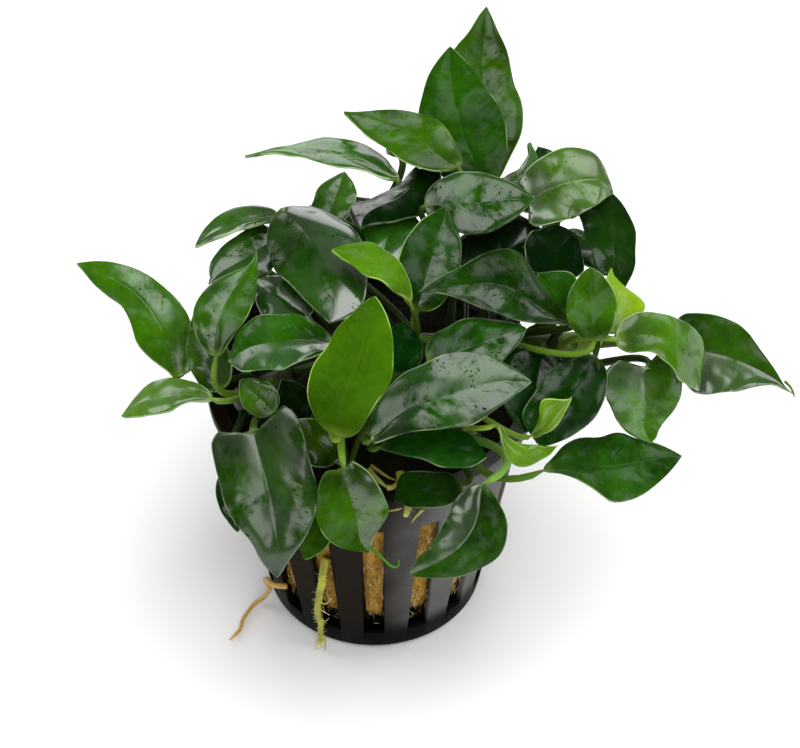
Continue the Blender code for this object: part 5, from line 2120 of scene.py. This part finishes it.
        # Painted light and shade on the stalk: its lightness, fading to darker shade towards its foot.
        foot_shade = np.linspace(STALK_SHADE, 1.0, len(stalk))[:, None]
        looks[: len(stalk), :, 1] *= STALK_WET
        looks[: len(stalk), :, 0] = self.stalk_light * foot_shade
        parts = MeshParts()
        parts.add_loft(
            rings,
            leaf_place=np.concatenate([stalk_places, blade_places]),
            leaf_nature=np.concatenate([stalk_nature, blade_nature]),
            leaf_look=looks,
        )
        if self.curl:
            places, radius = self.curl
            depth = float(np.dot(self.tip, VIEW.directions()[2]))
            curl = smooth_course(np.array([VIEW.point_at_depth(*place, depth) for place in places]), 6)
            parts.add_tube(
                curl,
                radius * np.linspace(1.0, 0.35, len(curl)),
                8,
                leaf_place=(0.0, 0.9, FAR_FROM_EDGE),
                leaf_nature=(float(blade_nature[0, 0, 0]), 0.0, self.length),
                leaf_look=(max(self.look[0] * 1.5, 0.8), 0.2, 0.5),
            )
        return parts.build(name, [material])


@dataclass
class Foliage:
    """All the leaves.

    Attributes:
        stems: The rhizomes that they grow from.
        palette: The finishes.
        seed: Seed of the leaves' unevenness.
    """

    stems: dict
    palette: Palette
    seed: int = 7

    def shape(self, name: str, plan: LeafPlan, index: int, seen: bool) -> LeafShape:
        """Place one leaf.

        Args:
            name: The leaf's name.
            plan: The leaf's plan.
            index: Its number, which sets its unevenness.
            seen: Whether the plan is in the front view.

        Returns:
            The leaf's form.
        """
        stem = self.stems[plan.stem]
        foot, direction = stem.at(plan.along)
        if seen:
            base, tip = VIEW.point(plan.base), VIEW.point(plan.tip)
        else:
            base, tip = np.array(plan.base, float), np.array(plan.tip, float)
        rng = np.random.default_rng(self.seed * 1000 + index)
        return LeafShape(
            plan,
            foot,
            direction,
            stem.radius,
            base,
            tip,
            rng,
            LEAF_LOOKS.get(name, PLAIN_LOOK),
            EDGES.get(name, ()),
            LOBES.get(name, (0.0, 0.0)),
            HALF_WET.get(name, (1.0, 1.0)),
            STALK_LIGHT.get(name, STALK_IN_SHADE),
            TIP_CURLS.get(name, ()),
        )

    def build(self) -> None:
        """Build the leaves seen from the front, those behind them, and the young ones."""
        index = 0
        for plans, seen in ((SEEN_LEAVES, True), (BACK_LEAVES, False)):
            for node, plan in plans.items():
                shape = self.shape(node, plan, index, seen)
                leaf = shape.build(f"anubias_{node}", self.palette.leaves[plan.tone])
                install(leaf, plan.tone.value, node)
                index += 1
        for number, plan in enumerate(YOUNG_LEAVES, 1):
            name = f"young_leaf_{number:02d}"
            leaf = self.shape(name, plan, index, True).build(name, self.palette.leaves[plan.tone])
            install(leaf, plan.tone.value, plan.stem.value)
            index += 1


# ---- Stage ----


@dataclass
class Studio:
    """A white table, soft light from above and the camera.

    Attributes:
        sensor: Camera sensor width.
        table_size: Side of the table, in metres.
    """

    sensor: float = 36.0
    table_size: float = 6.0

    def table(self) -> None:
        """Lay the white table under the pot."""
        bm = bmesh.new()
        bmesh.ops.create_grid(bm, x_segments=1, y_segments=1, size=self.table_size / 2)
        mesh = bpy.data.meshes.new("table")
        bm.to_mesh(mesh)
        bm.free()
        material, writer, shader = new_material("table_white")
        shader.inputs["Base Color"].default_value = (0.90, 0.90, 0.90, 1)
        shader.inputs["Roughness"].default_value = 0.9
        shader.inputs["Specular IOR Level"].default_value = 0.1
        mesh.materials.append(material)
        floor = bpy.data.objects.new("table", mesh)
        floor.location = (0, 0, -0.0001)
        bpy.context.scene.collection.objects.link(floor)

    def lamp(self, name: str, place: tuple, aim: tuple, size: float, glow: float) -> None:
        """Add a square soft lamp.

        Args:
            name: Its name.
            place: Where it is, in metres.
            aim: What it looks at.
            size: Its side.
            glow: Its brightness, where white paper in full light is about 1.
        """
        light = bpy.data.lights.new(name, "AREA")
        light.shape = "SQUARE"
        light.size = size
        light.energy = glow * math.pi * size**2
        item = bpy.data.objects.new(name, light)
        item.location = place
        towards = Vector(aim) - Vector(place)
        item.rotation_euler = towards.to_track_quat("-Z", "Y").to_euler()
        bpy.context.scene.collection.objects.link(item)

    def lights(self) -> None:
        """Hang the lamps and set the surroundings."""
        self.lamp("softbox_over", (0.10, -0.10, 0.65), (0.0, 0.0, 0.05), 0.70, 4.0)
        self.lamp("panel_front", (-0.05, -0.75, 0.38), (0.0, 0.0, 0.05), 0.45, 2.5)
        self.lamp("panel_right", (0.55, -0.45, 0.14), (0.0, 0.0, 0.03), 0.30, 3.0)
        self.lamp("panel_side", (0.62, 0.24, 0.36), (0.0, 0.0, 0.05), 0.40, 2.4)
        self.lamp("panel_left", (-0.62, 0.14, 0.42), (0.0, 0.0, 0.05), 0.40, 2.2)
        self.lamp("panel_back", (0.0, 0.80, 0.35), (0.0, 0.0, 0.05), 0.60, 2.5)
        world = bpy.data.worlds.new("surroundings")
        world.use_nodes = True
        background = world.node_tree.nodes["Background"]
        background.inputs["Color"].default_value = (1.0, 1.0, 1.0, 1)
        background.inputs["Strength"].default_value = 0.20
        bpy.context.scene.world = world
        bpy.context.scene.view_settings.view_transform = "Standard"

    def camera(self) -> None:
        """Set the camera where the front view is taken from."""
        right, rise, towards = VIEW.directions()
        camera = bpy.data.cameras.new("camera")
        camera.sensor_width = self.sensor
        camera.lens = self.sensor * VIEW.distance / (IMAGE_WIDTH / PIXELS_PER_MM)
        camera.clip_start = 0.01
        camera.clip_end = 20.0
        eye = right * VIEW.axis[0] + rise * VIEW.axis[1] + towards * VIEW.distance
        place = Matrix([right, rise, towards]).transposed().to_4x4()
        place.translation = Vector(eye * MM)
        item = bpy.data.objects.new("camera", camera)
        item.matrix_world = place
        bpy.context.scene.collection.objects.link(item)
        bpy.context.scene.camera = item

    def build(self) -> None:
        """Build the stage."""
        self.table()
        self.lights()
        self.camera()


def main() -> None:
    """Build every sub-assembly around the frame."""
    palette = Palette()
    shape = PotShape()
    NetPot(shape).build(palette.pot)
    WoolPlug(shape).build(palette.wool, np.random.default_rng(11))
    stems = {stem: Rhizome(stem, radius, points) for stem, (radius, points) in RHIZOMES.items()}
    for stem in stems.values():
        stem.build(palette.rhizome)
    rng = np.random.default_rng(23)
    for name, (radius, points) in ROOTS.items():
        Root(name, radius, points, **ROOT_DETAILS[name]).build(palette.root, rng)
    Foliage(stems, palette).build()
    Studio().build()
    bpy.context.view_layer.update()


if __name__ == "__main__":
    main()
